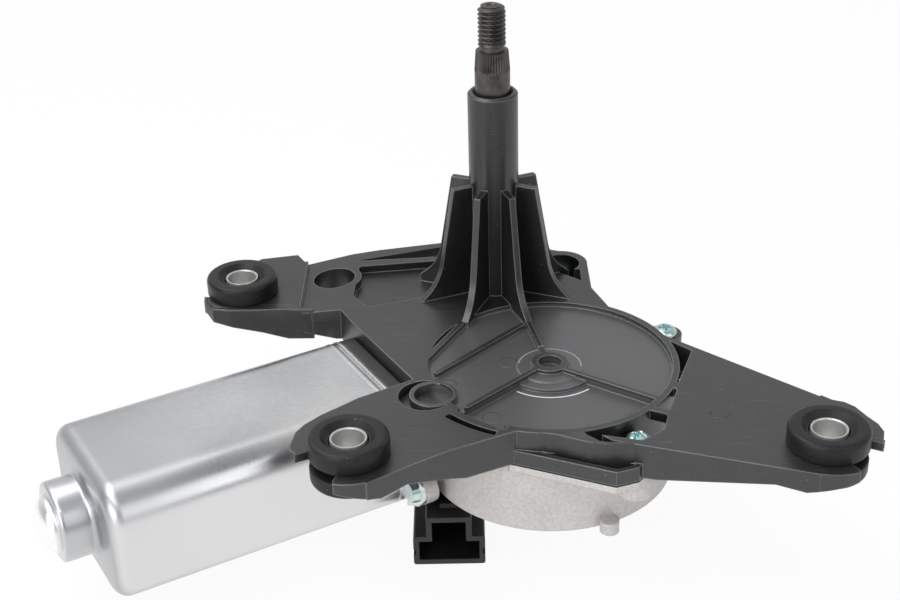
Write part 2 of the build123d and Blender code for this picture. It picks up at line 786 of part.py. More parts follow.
# ------------------------------------------------------------------ joint gasket
with BuildPart() as case_gasket:
    with BuildSketch(Plane.XY.offset(flange_top)):
        add(case_plan.sketch)
        add(case_inner.sketch, mode=Mode.SUBTRACT)
        with Locations(*screws):
            Circle(screw_shank_r + 0.3, mode=Mode.SUBTRACT)
    extrude(amount=gasket_thick)
case_gasket.part.label = "case_gasket"
export_step(case_gasket.part, "parts/case_gasket.step")


# ------------------------------------------------------------------ grommets and sleeves
def grommet_section(seat):
    # Half section of a grommet: two flanges, a neck for the fork and a funnel over the sleeve.
    with BuildSketch(Plane(origin=seat + (0,), x_dir=(1, 0, 0), z_dir=(0, -1, 0))) as section:
        with BuildLine():
            Polyline(
                (sleeve_outer_r + seat_gap, 0.0), (sleeve_outer_r + grommet_funnel, grommet_proud),
                (grommet_flange_r, grommet_proud), (grommet_flange_r, plate_top),
                (grommet_neck_r, plate_top), (grommet_neck_r, plate_under),
                (grommet_flange_r, plate_under), (grommet_flange_r, -sleeve_length),
                (sleeve_outer_r + seat_gap, -sleeve_length), close=True,
            )
        half = make_face()
        rim = half.vertices().group_by(Axis.X)[-1].sort_by(Axis.Z)
        fillet([rim[0], rim[-1]], grommet_round)
        fillet([rim[1], rim[2]], grommet_round / 3)
    return section.sketch


def sleeve_section(seat):
    # Half section of a sleeve, eased at both ends of its bore.
    with BuildSketch(Plane(origin=seat + (0,), x_dir=(1, 0, 0), z_dir=(0, -1, 0))) as section:
        with Locations(((sleeve_bore_r + sleeve_outer_r) / 2, -sleeve_length / 2)):
            Rectangle(sleeve_outer_r - sleeve_bore_r, sleeve_length)
        chamfer(section.vertices(), 0.25)
    return section.sketch


with BuildPart() as grommet_left:
    add(grommet_section(left_seat))
    revolve(axis=Axis(left_seat + (0,), (0, 0, 1)))
grommet_left.part.label = "grommet_left"
export_step(grommet_left.part, "parts/grommet_left.step")

with BuildPart() as grommet_right:
    add(grommet_section(right_seat))
    revolve(axis=Axis(right_seat + (0,), (0, 0, 1)))
grommet_right.part.label = "grommet_right"
export_step(grommet_right.part, "parts/grommet_right.step")

with BuildPart() as grommet_rear:
    add(grommet_section(rear_seat))
    revolve(axis=Axis(rear_seat + (0,), (0, 0, 1)))
grommet_rear.part.label = "grommet_rear"
export_step(grommet_rear.part, "parts/grommet_rear.step")

with BuildPart() as sleeve_left:
    add(sleeve_section(left_seat))
    revolve(axis=Axis(left_seat + (0,), (0, 0, 1)))
sleeve_left.part.label = "sleeve_left"
export_step(sleeve_left.part, "parts/sleeve_left.step")

with BuildPart() as sleeve_right:
    add(sleeve_section(right_seat))
    revolve(axis=Axis(right_seat + (0,), (0, 0, 1)))
sleeve_right.part.label = "sleeve_right"
export_step(sleeve_right.part, "parts/sleeve_right.step")

with BuildPart() as sleeve_rear:
    add(sleeve_section(rear_seat))
    revolve(axis=Axis(rear_seat + (0,), (0, 0, 1)))
sleeve_rear.part.label = "sleeve_rear"
export_step(sleeve_rear.part, "parts/sleeve_rear.step")


# ------------------------------------------------------------------ screws
def screw_section(frame):
    # Half section of a pan-head screw: local x is the radius, local y runs up from the seat.
    with BuildSketch(frame) as section:
        with BuildLine():
            Line((0, screw_head_high), (screw_head_r * 0.5, screw_head_high))
            ThreePointArc(
                (screw_head_r * 0.5, screw_head_high), (screw_head_r * 0.86, screw_head_high * 0.75),
                (screw_head_r, screw_head_high * 0.25),
            )
            Polyline(
                (screw_head_r, screw_head_high * 0.25), (screw_head_r, 0), (screw_shank_r, 0),
                (screw_shank_r, 0.6 - screw_length), (screw_shank_r - 0.6, -screw_length),
                (0, -screw_length), (0, screw_head_high),
            )
        make_face()
    return section.sketch


screw_seats = [front_pocket_floor, ledge_top, well_floor, well_floor]
with BuildPart() as cover_screws:
    for spot, height in zip(screws, screw_seats):
        add(screw_section(Plane(origin=spot + (height,), x_dir=(1, 0, 0), z_dir=(0, -1, 0))))
        revolve(axis=Axis(spot + (0,), (0, 0, 1)))
cover_screws.part.label = "cover_screws"
export_step(cover_screws.part, "parts/cover_screws.step")

with BuildPart() as can_screws:
    for side, up in can_screw_spots:
        head_seat = on_motor(can_mouth - can_lip, side, up)
        with BuildSketch(Plane(origin=head_seat, x_dir=across, z_dir=along)):
            Circle(screw_shank_r)
        extrude(amount=collar_length + can_lip)
        with BuildSketch(Plane(origin=head_seat, x_dir=across, z_dir=along)):
            Circle(screw_head_r)
        extrude(amount=-screw_head_high, taper=12)
can_screws.part.label = "can_screws"
export_step(can_screws.part, "parts/can_screws.step")


# ------------------------------------------------------------------ bushes, seal and output shaft
bush_r = bush_outer_r - running_gap
upper_bush_top = tower_top - 4.5

with BuildPart() as tower_bush_upper:
    with BuildSketch(Plane.XY.offset(upper_bush_top)):
        Circle(bush_r)
        Circle(shaft_r + running_gap, mode=Mode.SUBTRACT)
    extrude(amount=-bush_length)
tower_bush_upper.part.label = "tower_bush_upper"
export_step(tower_bush_upper.part, "parts/tower_bush_upper.step")

with BuildPart() as tower_bush_lower:
    with BuildSketch(Plane.XY.offset(ceiling)):
        Circle(bush_r)
        Circle(shaft_r + running_gap, mode=Mode.SUBTRACT)
    extrude(amount=bush_length)
tower_bush_lower.part.label = "tower_bush_lower"
export_step(tower_bush_lower.part, "parts/tower_bush_lower.step")

with BuildPart() as shaft_seal:
    with BuildSketch(Plane.XZ):
        with BuildLine():
            Polyline(
                (shaft_r + running_gap, upper_bush_top + 1.4), (shaft_r + 0.4, upper_bush_top),
                (bush_r, upper_bush_top), (bush_r, tower_top - 0.3), (shaft_r + 0.4, tower_top - 0.3),
                (shaft_r + running_gap, tower_top - 1.2), close=True,
            )
        make_face()
    revolve(axis=Axis.Z)
shaft_seal.part.label = "shaft_seal"
export_step(shaft_seal.part, "parts/shaft_seal.step")

stub_end = keeper_bottom - 1.5
groove_r = stub_r - 0.7
clip_top = keeper_bottom - 0.3
with BuildPart() as output_shaft:
    with BuildSketch(Plane.XZ):
        with BuildLine():
            Polyline(
                (0, shaft_top), (thread_r - 0.9, shaft_top), (thread_r, shaft_top - 0.9),
                (thread_r, thread_low), (neck_r, thread_low - 0.3), (neck_r, knurl_high + 0.3),
                (knurl_top_r, knurl_high), (shaft_r, knurl_low), (shaft_r, link_top),
                (hub_r, link_top), (hub_r, link_bottom), (stub_r, link_bottom), (stub_r, clip_top),
                (groove_r, clip_top), (groove_r, clip_top - clip_thick),
                (stub_r, clip_top - clip_thick), (stub_r, stub_end + 0.3), (stub_r - 0.3, stub_end),
                (0, stub_end), close=True,
            )
        make_face()
    revolve(axis=Axis.Z)
output_shaft.part.label = "output_shaft"
export_step(output_shaft.part, "parts/output_shaft.step")

with BuildPart() as shaft_clip:
    with BuildSketch(Plane.XY.offset(clip_top)):
        Circle(stub_r + 1.8)
        Circle(groove_r + running_gap, mode=Mode.SUBTRACT)
        with Locations((stub_r + 0.6, 0)):
            Rectangle(2 * stub_r, 2 * groove_r - 1.2, mode=Mode.SUBTRACT)
    extrude(amount=-clip_thick + running_gap)
shaft_clip.part.label = "shaft_clip"
export_step(shaft_clip.part, "parts/shaft_clip.step")

with BuildPart() as output_pinion:
    with BuildSketch(Plane.XY.offset(link_bottom)):
        with BuildLine(Plane.XY.rotated((0, 0, park_angle + 180.0 / pinion_teeth))):
            Polyline(*involute_outline(pinion_module, pinion_teeth, link_backlash), close=True)
        make_face()
        Circle(hub_r + running_gap, mode=Mode.SUBTRACT)
    extrude(amount=link_thick)
output_pinion.part.label = "output_pinion"
export_step(output_pinion.part, "parts/output_pinion.step")


# ------------------------------------------------------------------ sector rod, keeper and pins
with BuildPart() as sector_rod:
    with BuildSketch(Plane.XY.offset(link_bottom)):
        with BuildLine(Plane(rod_pivot + (0,)).rotated((0, 0, park_angle + 180.0))):
            Polyline(*involute_outline(pinion_module, sector_teeth, link_backlash), close=True)
        make_face()
        with BuildLine():
            Polyline(
                rod_pivot, polar(24.0, park_angle + 158.0, rod_pivot),
                polar(34.0, park_angle + 202.0, rod_pivot), polar(24.0, park_angle + 247.0, rod_pivot),
                close=True,
            )
        make_face(mode=Mode.INTERSECT)
        bar(rod_pivot, crank_point, 9.0)
        with Locations(rod_pivot):
            Circle(rod_pin_r + eye_wall + 0.6)
        with Locations(crank_point):
            Circle(crank_pin_r + eye_wall)
        with Locations(rod_pivot):
            Circle(rod_pin_r, mode=Mode.SUBTRACT)
        with Locations(crank_point):
            Circle(crank_pin_r, mode=Mode.SUBTRACT)
    extrude(amount=link_thick)
    with BuildSketch(Plane.XY.offset(link_top)):
        bar(polar(11.0, rod_heading, rod_pivot), polar(30.0, rod_heading, rod_pivot), 5.0)
    extrude(amount=-1.4, mode=Mode.SUBTRACT)
    with BuildSketch(Plane.XY.offset(link_bottom)):
        bar(polar(11.0, rod_heading, rod_pivot), polar(30.0, rod_heading, rod_pivot), 5.0)
    extrude(amount=1.4, mode=Mode.SUBTRACT)
sector_rod.part.label = "sector_rod"
export_step(sector_rod.part, "parts/sector_rod.step")

with BuildPart() as keeper_link:
    with BuildSketch(Plane.XY.offset(keeper_bottom)):
        bar((0, 0), rod_pivot, 8.4)
        Circle(stub_r + 2.0)
        with Locations(rod_pivot):
            Circle(rod_pin_r + 2.2)
        Circle(stub_r + running_gap, mode=Mode.SUBTRACT)
        with Locations(rod_pivot):
            Circle(rod_pin_r + running_gap, mode=Mode.SUBTRACT)
    extrude(amount=keeper_thick)
keeper_link.part.label = "keeper_link"
export_step(keeper_link.part, "parts/keeper_link.step")

with BuildPart() as rod_pin:
    with BuildSketch(Plane.XY.offset(link_top)):
        with Locations(rod_pivot):
            Circle(rod_pin_r)
    extrude(amount=keeper_bottom - 0.2 - link_top)
    with BuildSketch(Plane.XY.offset(keeper_bottom - 0.2)):
        with Locations(rod_pivot):
            Circle(rod_pin_r + 1.1)
    extrude(amount=-0.9)
    chamfer(rod_pin.edges().group_by(Axis.Z)[0], 0.3)
rod_pin.part.label = "rod_pin"
export_step(rod_pin.part, "parts/rod_pin.step")

with BuildPart() as crank_pin:
    with BuildSketch(Plane.XY.offset(link_top)):
        with Locations(crank_point):
            Circle(crank_pin_r)
    extrude(amount=wheel_top + 0.3 - link_top)
    chamfer(crank_pin.edges().group_by(Axis.Z)[0], 0.4)
crank_pin.part.label = "crank_pin"
export_step(crank_pin.part, "parts/crank_pin.step")


# ------------------------------------------------------------------ worm wheel on its axle
wheel_turn = motor_yaw + 90.0
wheel_twist = math.degrees(axial_module / (2 * worm_pitch_r) / wheel_pitch_r * wheel_width)
wheel_outline = involute_outline(axial_module, wheel_teeth, mesh_backlash, points=2)
clip_floor = axle_top - 1.2

with BuildPart() as worm_wheel:
    for height, turn in ((wheel_bottom, -wheel_twist / 2), (wheel_top, wheel_twist / 2)):
        with BuildSketch(Plane((gear_x, gear_y, height)).rotated((0, 0, wheel_turn + turn))):
            with BuildLine():
                Polyline(*wheel_outline, close=True)
            make_face()
    loft(ruled=True)
    with BuildSketch(Plane.XY.offset(wheel_bottom)):
        with Locations(gear_centre):
            Circle(wheel_pitch_r - 3.6)
            Circle(9.0, mode=Mode.SUBTRACT)
            with PolarLocations(wheel_pitch_r / 2 + 3.0, 6):
                Rectangle(2 * wheel_pitch_r, 2.0, mode=Mode.SUBTRACT)
    extrude(amount=wheel_width / 2, mode=Mode.SUBTRACT)
    with BuildSketch(Plane.XY.offset(wheel_top)):
        with Locations(gear_centre):
            Circle(axle_r + 3.6)
    extrude(amount=clip_floor - wheel_top, mode=Mode.SUBTRACT)
    with BuildSketch(Plane.XY.offset(wheel_top)):
        with Locations(gear_centre):
            Circle(wheel_pitch_r - 3.6)
            Circle(crank_throw + crank_pin_r + 3.0, mode=Mode.SUBTRACT)
    extrude(amount=-1.5, mode=Mode.SUBTRACT)
    with BuildSketch(Plane.XY.offset(wheel_bottom)):
        with Locations(gear_centre):
            Circle(axle_r + running_gap)
    extrude(amount=wheel_width, mode=Mode.SUBTRACT)
worm_wheel.part.label = "worm_wheel"
export_step(worm_wheel.part, "parts/worm_wheel.step")

with BuildPart() as gear_axle:
    with BuildSketch(gear_section):
        with BuildLine():
            Polyline(
                (0, axle_top), (axle_r - 0.3, axle_top), (axle_r, axle_top - 0.3),
                (axle_r, clip_floor + 0.1 + clip_thick), (axle_r - 0.6, clip_floor + 0.1 + clip_thick),
                (axle_r - 0.6, clip_floor + 0.1), (axle_r, clip_floor + 0.1), (axle_r, axle_bottom),
                (0, axle_bottom), close=True,
            )
        make_face()
    revolve(axis=gear_axis)
gear_axle.part.label = "gear_axle"
export_step(gear_axle.part, "parts/gear_axle.step")

with BuildPart() as axle_clip:
    with BuildSketch(Plane.XY.offset(clip_floor + 0.1)):
        with Locations(gear_centre):
            Circle(axle_r + 2.2)
            Circle(axle_r - 0.6 + running_gap, mode=Mode.SUBTRACT)
            with Locations((axle_r, 0)):
                Rectangle(2 * axle_r, axle_r, mode=Mode.SUBTRACT)
    extrude(amount=clip_thick - running_gap)
axle_clip.part.label = "axle_clip"
export_step(axle_clip.part, "parts/axle_clip.step")

park_disc_thick = 0.4
with BuildPart() as park_disc:
    with BuildSketch(Plane.XY.offset(wheel_bottom)):
        with Locations(gear_centre):
            Circle(wheel_pitch_r - 2.6)
            Circle(8.6, mode=Mode.SUBTRACT)
            with Locations(polar(18.0, 40.0)):
                Rectangle(9.0, 5.0, rotation=40, mode=Mode.SUBTRACT)
    extrude(amount=-park_disc_thick)
park_disc.part.label = "park_disc"
export_step(park_disc.part, "parts/park_disc.step")


# ------------------------------------------------------------------ park switch and connector
carrier_top = bowl_floor_top + 1.2
with BuildPart() as contact_carrier:
    with BuildSketch(Plane.XY.offset(bowl_floor_top)):
        with Locations(gear_centre):
            Circle(rim_r - housing_wall - seat_gap)
            Circle(12.0, mode=Mode.SUBTRACT)
        with Locations((socket_x + 6.0, gear_y)):
            Rectangle(24.0, 18.0, mode=Mode.INTERSECT)
        with Locations(*[(socket_x + k * pin_pitch, gear_y - 0.5) for k in (-1, 0, 1)]):
            Rectangle(pin_width + 0.3, pin_width + 0.3, mode=Mode.SUBTRACT)
    extrude(amount=carrier_top - bowl_floor_top)
contact_carrier.part.label = "contact_carrier"
export_step(contact_carrier.part, "parts/contact_carrier.step")

finger_top = wheel_bottom - park_disc_thick - 0.3
with BuildPart() as park_contacts:
    for row in (-6.0, 0.0, 6.0):
        with BuildSketch(Plane.XZ.offset(-gear_y - row)):
            with BuildLine():
                Polyline(
                    (socket_x + 7.0, carrier_top), (socket_x + 7.0, carrier_top + 0.35),
                    (socket_x + 9.0, carrier_top + 0.35), (socket_x + 13.0, finger_top),
                    (socket_x + 14.6, finger_top), (socket_x + 14.6, finger_top - 0.35),
                    (socket_x + 13.2, finger_top - 0.35), (socket_x + 10.0, carrier_top), close=True,
                )
            make_face()
        extrude(amount=1.0, both=True)
park_contacts.part.label = "park_contacts"
export_step(park_contacts.part, "parts/park_contacts.step")

socket_top = bowl_bottom - 3.6
socket_back = socket_mouth_y + socket_length
low_height = socket_shoulder - socket_bottom
with BuildPart() as connector_housing:
    with BuildSketch(Plane.XZ.offset(-socket_back)):
        with Locations((socket_x, (socket_bottom + socket_shoulder) / 2)):
            RectangleRounded(socket_width, low_height, 0.8)
        with Locations((socket_x, (socket_bottom + socket_top) / 2)):
            RectangleRounded(socket_top_width, socket_top - socket_bottom, 0.6)
    extrude(amount=socket_length)
    with BuildSketch(Plane.XY.offset(socket_top)):
        with Locations((socket_x, socket_back - 6.0)):
            Rectangle(socket_top_width, 12.0)
    extrude(amount=bowl_bottom - socket_top)
    with BuildSketch(Plane.XY.offset(bowl_bottom)):
        with Locations(socket_window):
            Rectangle(2 * (window_half - seat_gap), 5.0)
    extrude(amount=bowl_floor_thick)
    with BuildSketch(Plane.XZ.offset(-socket_mouth_y)):
        with Locations((socket_x, (socket_bottom + socket_shoulder) / 2)):
            Rectangle(socket_width - 2 * socket_wall, low_height - 2 * socket_wall)
        with Locations((socket_x, (socket_bottom + socket_top) / 2)):
            Rectangle(
                socket_top_width - 2 * socket_wall, socket_top - socket_bottom - 2 * socket_wall
            )
    extrude(amount=-socket_length + 5.0, mode=Mode.SUBTRACT)
    with BuildSketch(Plane.XZ.offset(-socket_mouth_y)):
        with Locations((socket_x - socket_width / 2, -51.6), (socket_x + socket_width / 2, -51.6)):
            Rectangle(2 * 0.7, 2.0)
    extrude(amount=-socket_length + 6.0, mode=Mode.SUBTRACT)
    with BuildSketch(Plane.XY.offset(socket_top)):
        with Locations((socket_x, socket_mouth_y + 6.0)):
            Rectangle(5.0, 3.0)
    extrude(amount=1.2, taper=20)
    with BuildSketch(Plane.XZ.offset(-socket_back)):
        with Locations(*[(socket_x + k * pin_pitch, pin_z) for k in (-1, 0, 1)]):
            Rectangle(pin_width + 0.1, pin_width + 0.1)
    extrude(amount=socket_length, mode=Mode.SUBTRACT)
    with BuildSketch(Plane.XY.offset(pin_z)):
        with Locations(*[(socket_x + k * pin_pitch, gear_y - 0.5) for k in (-1, 0, 1)]):
            Rectangle(pin_width + 0.1, pin_width + 0.1)
    extrude(amount=bowl_floor_top - pin_z, mode=Mode.SUBTRACT)
connector_housing.part.label = "connector_housing"
export_step(connector_housing.part, "parts/connector_housing.step")

with BuildPart() as terminals:
    for k in (-1, 0, 1):
        with BuildSketch(Plane.YZ.offset(socket_x + k * pin_pitch - pin_width / 2)):
            with BuildLine():
                Polyline(
                    (socket_mouth_y + 6.0, pin_z - pin_width / 2),
                    (gear_y - 0.5 + pin_width / 2, pin_z - pin_width / 2),
                    (gear_y - 0.5 + pin_width / 2, carrier_top),
                    (gear_y - 0.5 - pin_width / 2, carrier_top),
                    (gear_y - 0.5 - pin_width / 2, pin_z + pin_width / 2),
                    (socket_mouth_y + 6.0, pin_z + pin_width / 2), close=True,
                )
            make_face()
        extrude(amount=pin_width)
terminals.part.label = "terminals"
export_step(terminals.part, "parts/terminals.step")


# ------------------------------------------------------------------ armature
worm_start = on_motor(-worm_length / 2)
shaft_start = boss_end + can_sheet + 1.0

with BuildPart() as armature_shaft:
    with BuildSketch(motor_plane(shaft_start)):
        Circle(armature_shaft_r)
    extrude(amount=shaft_finish - shaft_start)
    chamfer(armature_shaft.edges().filter_by(GeomType.CIRCLE), 0.3)
    with BuildLine() as worm_path:
        Helix(thread_pitch, worm_length, worm_root_r, center=worm_start, direction=along)
    crest = Vector(worm_path.line @ 0) - worm_start
    with BuildSketch(Plane(origin=worm_path.line @ 0, x_dir=crest, z_dir=worm_path.line % 0)):
        with BuildLine():
            Polyline(
                (-0.45, -1.2), (worm_tip_r - worm_root_r, -0.42), (worm_tip_r - worm_root_r, 0.42),
                (-0.45, 1.2), close=True,
            )
        make_face()
    sweep(path=worm_path.line, is_frenet=True)
armature_shaft.part.label = "armature_shaft"
export_step(armature_shaft.part, "parts/armature_shaft.step")

core_start = core_middle - core_length / 2
with BuildPart() as armature_core:
    with BuildSketch(motor_plane(core_start)):
        Circle(armature_r)
        with PolarLocations(armature_r - 1.0, 8):
            Rectangle(2.4, 1.6, mode=Mode.SUBTRACT)
        with PolarLocations(armature_r - 4.2, 8):
            SlotOverall(4.6, 3.4, mode=Mode.SUBTRACT)
        Circle(armature_shaft_r, mode=Mode.SUBTRACT)
    extrude(amount=core_length)
armature_core.part.label = "armature_core"
export_step(armature_core.part, "parts/armature_core.step")

with BuildPart() as armature_windings:
    for start, way in ((core_start, -1), (core_start + core_length, 1)):
        with BuildSketch(motor_plane(start)):
            Circle(winding_r)
            Circle(armature_shaft_r + 1.0, mode=Mode.SUBTRACT)
        extrude(amount=way * winding_overhang, taper=14)
armature_windings.part.label = "armature_windings"
export_step(armature_windings.part, "parts/armature_windings.step")

with BuildPart() as commutator:
    with BuildSketch(motor_plane(commutator_middle - commutator_length / 2)):
        Circle(commutator_r)
        with PolarLocations(commutator_r, 8):
            Rectangle(1.6, 0.6, mode=Mode.SUBTRACT)
        Circle(armature_shaft_r, mode=Mode.SUBTRACT)
    extrude(amount=commutator_length)
commutator.part.label = "commutator"
export_step(commutator.part, "parts/commutator.step")

with BuildPart() as thrust_ball:
    with BuildSketch(can_section):
        with Locations((shaft_finish + ball_r + 0.05, 0)):
            Circle(ball_r)
        with Locations((shaft_finish + ball_r + 0.05, -ball_r)):
            Rectangle(2.2 * ball_r, 2 * ball_r, mode=Mode.SUBTRACT)
    revolve(axis=motor_axis)
thrust_ball.part.label = "thrust_ball"
export_step(thrust_ball.part, "parts/thrust_ball.step")


# ------------------------------------------------------------------ armature bearings
with BuildPart() as front_bearing:
    with BuildSketch(motor_plane(bearing_start + bearing_length)):
        Circle(bearing_r - running_gap)
        Circle(armature_shaft_r + running_gap, mode=Mode.SUBTRACT)
    extrude(amount=-bearing_length)
front_bearing.part.label = "front_bearing"
export_step(front_bearing.part, "parts/front_bearing.step")

rear_bearing_r = can_boss_r - can_sheet - seat_gap
with BuildPart() as rear_bearing:
    with BuildSketch(can_section):
        with BuildLine():
            Polyline(
                (can_end - 0.6, armature_shaft_r + running_gap), (can_end - 0.6, rear_bearing_r - 2.2),
                (can_end - 2.6, rear_bearing_r), (can_end - 4.6, rear_bearing_r),
                (can_end - 6.6, rear_bearing_r - 2.2), (can_end - 6.6, armature_shaft_r + running_gap),
                close=True,
            )
        make_face()
    revolve(axis=motor_axis)
rear_bearing.part.label = "rear_bearing"
export_step(rear_bearing.part, "parts/rear_bearing.step")

with BuildPart() as bearing_retainer:
    with BuildSketch(motor_plane(can_end + can_sheet)):
        Circle(13.5)
        Circle(5.0, mode=Mode.SUBTRACT)
        with PolarLocations(6.5, 6):
            Rectangle(5.0, 1.6, mode=Mode.SUBTRACT)
    extrude(amount=0.6)
bearing_retainer.part.label = "bearing_retainer"
export_step(bearing_retainer.part, "parts/bearing_retainer.step")


# ------------------------------------------------------------------ magnets and brush gear
with BuildPart() as field_magnets:
    with BuildSketch(motor_plane(core_middle - magnet_length / 2)):
        Circle(magnet_outer_r)
        Circle(magnet_inner_r, mode=Mode.SUBTRACT)
        Rectangle(can_width, can_height - 2 * can_sheet - 1.8, mode=Mode.INTERSECT)
        Rectangle(15.0, can_height, mode=Mode.SUBTRACT)
    extrude(amount=magnet_length)
field_magnets.part.label = "field_magnets"
export_step(field_magnets.part, "parts/field_magnets.step")

card_thick = 3.0
brush_width = 4.4
brush_long = 5.0
brush_start = commutator_r + 0.3
brush_end = brush_start + 7.0
with BuildPart() as brush_card:
    with BuildSketch(motor_plane(can_mouth)):
        RectangleRounded(
            can_width - 2 * can_sheet - 0.6, can_height - 2 * can_sheet - 0.6,
            can_corner_r - can_sheet - 0.3,
        )
        Circle(commutator_r + 1.5, mode=Mode.SUBTRACT)
    extrude(amount=-card_thick)
    with BuildSketch(motor_plane(can_mouth - card_thick)):
        with Locations((15.2, 0), (-15.2, 0)):
            Rectangle(11.0, brush_width + 3.2)
    extrude(amount=commutator_middle - brush_long / 2 - 1.6 - can_mouth + card_thick)
    with BuildSketch(motor_plane(commutator_middle - brush_long / 2 - 0.15)):
        with Locations((14.2, 0), (-14.2, 0)):
            Rectangle(11.2, brush_width + 0.3)
    extrude(amount=brush_long + 0.3, mode=Mode.SUBTRACT)
brush_card.part.label = "brush_card"
export_step(brush_card.part, "parts/brush_card.step")

with BuildPart() as brushes:
    with BuildSketch(motor_plane(commutator_middle - brush_long / 2)):
        for way in (-1, 1):
            with Locations((way * (brush_start + brush_end) / 2, 0)):
                Rectangle(brush_end - brush_start, brush_width)
        Circle(commutator_r + 0.3, mode=Mode.SUBTRACT)
    extrude(amount=brush_long)
brushes.part.label = "brushes"
export_step(brushes.part, "parts/brushes.step")

with BuildPart() as brush_springs:
    for way in (-1, 1):
        spring_seat = on_motor(commutator_middle, way * (brush_end + 0.05))
        with BuildSketch(Plane(origin=spring_seat, x_dir=along, z_dir=across * way)):
            Circle(1.8)
            Circle(1.2, mode=Mode.SUBTRACT)
        extrude(amount=4.3)
brush_springs.part.label = "brush_springs"
export_step(brush_springs.part, "parts/brush_springs.step")
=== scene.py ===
import json
import math

import bmesh
import bpy
import numpy as np
from mathutils import Matrix


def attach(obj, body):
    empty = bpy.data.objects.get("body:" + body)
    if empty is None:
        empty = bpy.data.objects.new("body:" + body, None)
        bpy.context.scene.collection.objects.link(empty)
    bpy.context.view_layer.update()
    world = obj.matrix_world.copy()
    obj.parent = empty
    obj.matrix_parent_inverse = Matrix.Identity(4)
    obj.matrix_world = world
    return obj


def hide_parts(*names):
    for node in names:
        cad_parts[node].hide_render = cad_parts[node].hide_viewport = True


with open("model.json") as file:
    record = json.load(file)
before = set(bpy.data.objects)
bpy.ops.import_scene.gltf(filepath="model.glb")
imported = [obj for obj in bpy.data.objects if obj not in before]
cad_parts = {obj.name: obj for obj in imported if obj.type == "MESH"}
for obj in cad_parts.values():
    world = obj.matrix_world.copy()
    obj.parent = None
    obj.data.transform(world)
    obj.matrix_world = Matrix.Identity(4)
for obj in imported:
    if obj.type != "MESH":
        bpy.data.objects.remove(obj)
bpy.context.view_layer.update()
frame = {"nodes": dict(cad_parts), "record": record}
nodes = frame["nodes"]
print("frame loaded:", len(nodes), "nodes")

mm = 0.001
turn = 2 * math.pi

# places that several pieces share, in millimetres and degrees
gearCentre = (14.0, -45.0)
wellCentre = (-17.9, -60.4)
seats = {"left": (-38.8, -87.4), "right": (81.8, -87.4), "rear": (-75.7, -0.2)}
motorTurn = 29.75
motorYaw = math.radians(motorTurn)
alongMotor = np.array([math.cos(motorYaw), math.sin(motorYaw), 0.0])
acrossMotor = np.array([-math.sin(motorYaw), math.cos(motorYaw), 0.0])


def grey(level):
    return (level, level, level)


# quads between each row of point numbers and the next, closed round the columns
def ringQuads(index):
    ahead = np.roll(index, -1, axis=1)
    return np.stack([index[:-1], ahead[:-1], ahead[1:], index[1:]], axis=-1).reshape(-1, 4).tolist()


# points in millimetres and faces become a linked object at the origin
def meshObject(name, points, faces, smooth):
    mesh = bpy.data.meshes.new(name)
    mesh.from_pydata((points.reshape(-1, 3) * mm).tolist(), [], faces)
    mesh.update()
    piece = bpy.data.objects.new(name, mesh)
    bpy.context.scene.collection.objects.link(piece)
    cleanMesh(piece, smooth)
    return piece


# doubles at poles and seams are merged, flat leftovers dropped, and faces turned outwards
def cleanMesh(piece, smooth):
    work = bmesh.new()
    work.from_mesh(piece.data)
    bmesh.ops.remove_doubles(work, verts=work.verts, dist=1e-6)
    bmesh.ops.dissolve_degenerate(work, edges=work.edges, dist=1e-7)
    bmesh.ops.recalc_face_normals(work, faces=work.faces)
    work.to_mesh(piece.data)
    work.free()
    piece.data.polygons.foreach_set("use_smooth", [smooth] * len(piece.data.polygons))
    piece.data.update()


# a grid of points (rows, columns, 3), closed round its columns; each end row is a pole or an open rim
def gridMesh(name, points, closeRows=False):
    rows, columns = points.shape[:2]
    index = np.arange(rows * columns).reshape(rows, columns)
    if closeRows:
        index = np.vstack([index, index[:1]])
    return meshObject(name, points, ringQuads(index), True)


# a closed solid through rings of points (rows, columns, 3), with a flat face at each end
def ringSolid(name, rings, smooth=False):
    rows, columns = rings.shape[:2]
    index = np.arange(rows * columns).reshape(rows, columns)
    ends = [index[0][::-1].tolist(), index[-1].tolist()]
    return meshObject(name, rings, [*ends, *ringQuads(index)], smooth)


# several objects become one, in the order given
def joinPieces(name, pieces):
    with bpy.context.temp_override(active_object=pieces[0], selected_editable_objects=pieces, selected_objects=pieces):
        bpy.ops.object.join()
    pieces[0].name = name
    return pieces[0]


# corners (x, y, radius) of a profile replaced by curves (1 - t)^2 start + 2 t (1 - t) corner + t^2 end,
# each cut to just under half of the shorter run beside it
def roundProfile(corners, steps=6):
    out = [np.array(corners[0][:2], float)]
    for before, corner, after in zip(corners[:-2], corners[1:-1], corners[2:]):
        here = np.array(corner[:2], float)
        toward = np.array(before[:2], float) - here
        onward = np.array(after[:2], float) - here
        reach, run = np.linalg.norm(toward), np.linalg.norm(onward)
        radius = corner[2] if len(corner) > 2 else 0.0
        if radius <= 0:
            out.append(here)
            continue
        toward, onward = toward / reach, onward / run
        half = math.acos(max(-1, min(1, float(toward @ onward)))) / 2
        back = min(radius / math.tan(half), 0.49 * reach, 0.49 * run)
        share = np.linspace(0, 1, steps + 1)[:, None]
        start, end = here + toward * back, here + onward * back
        out.extend((1 - share) ** 2 * start + 2 * share * (1 - share) * here + share**2 * end)
    out.append(np.array(corners[-1][:2], float))
    return np.array(out)


# radius and height rows spun round an upright axis at centre: x = r cos a, y = r sin a
def spun(profile, centre, columns=96):
    angle = np.linspace(0, turn, columns, endpoint=False)
    radius, height = profile[:, 0][:, None], profile[:, 1][:, None]
    x = centre[0] + radius * np.cos(angle)
    y = centre[1] + radius * np.sin(angle)
    return np.stack([x, y, height + 0 * angle], axis=-1)


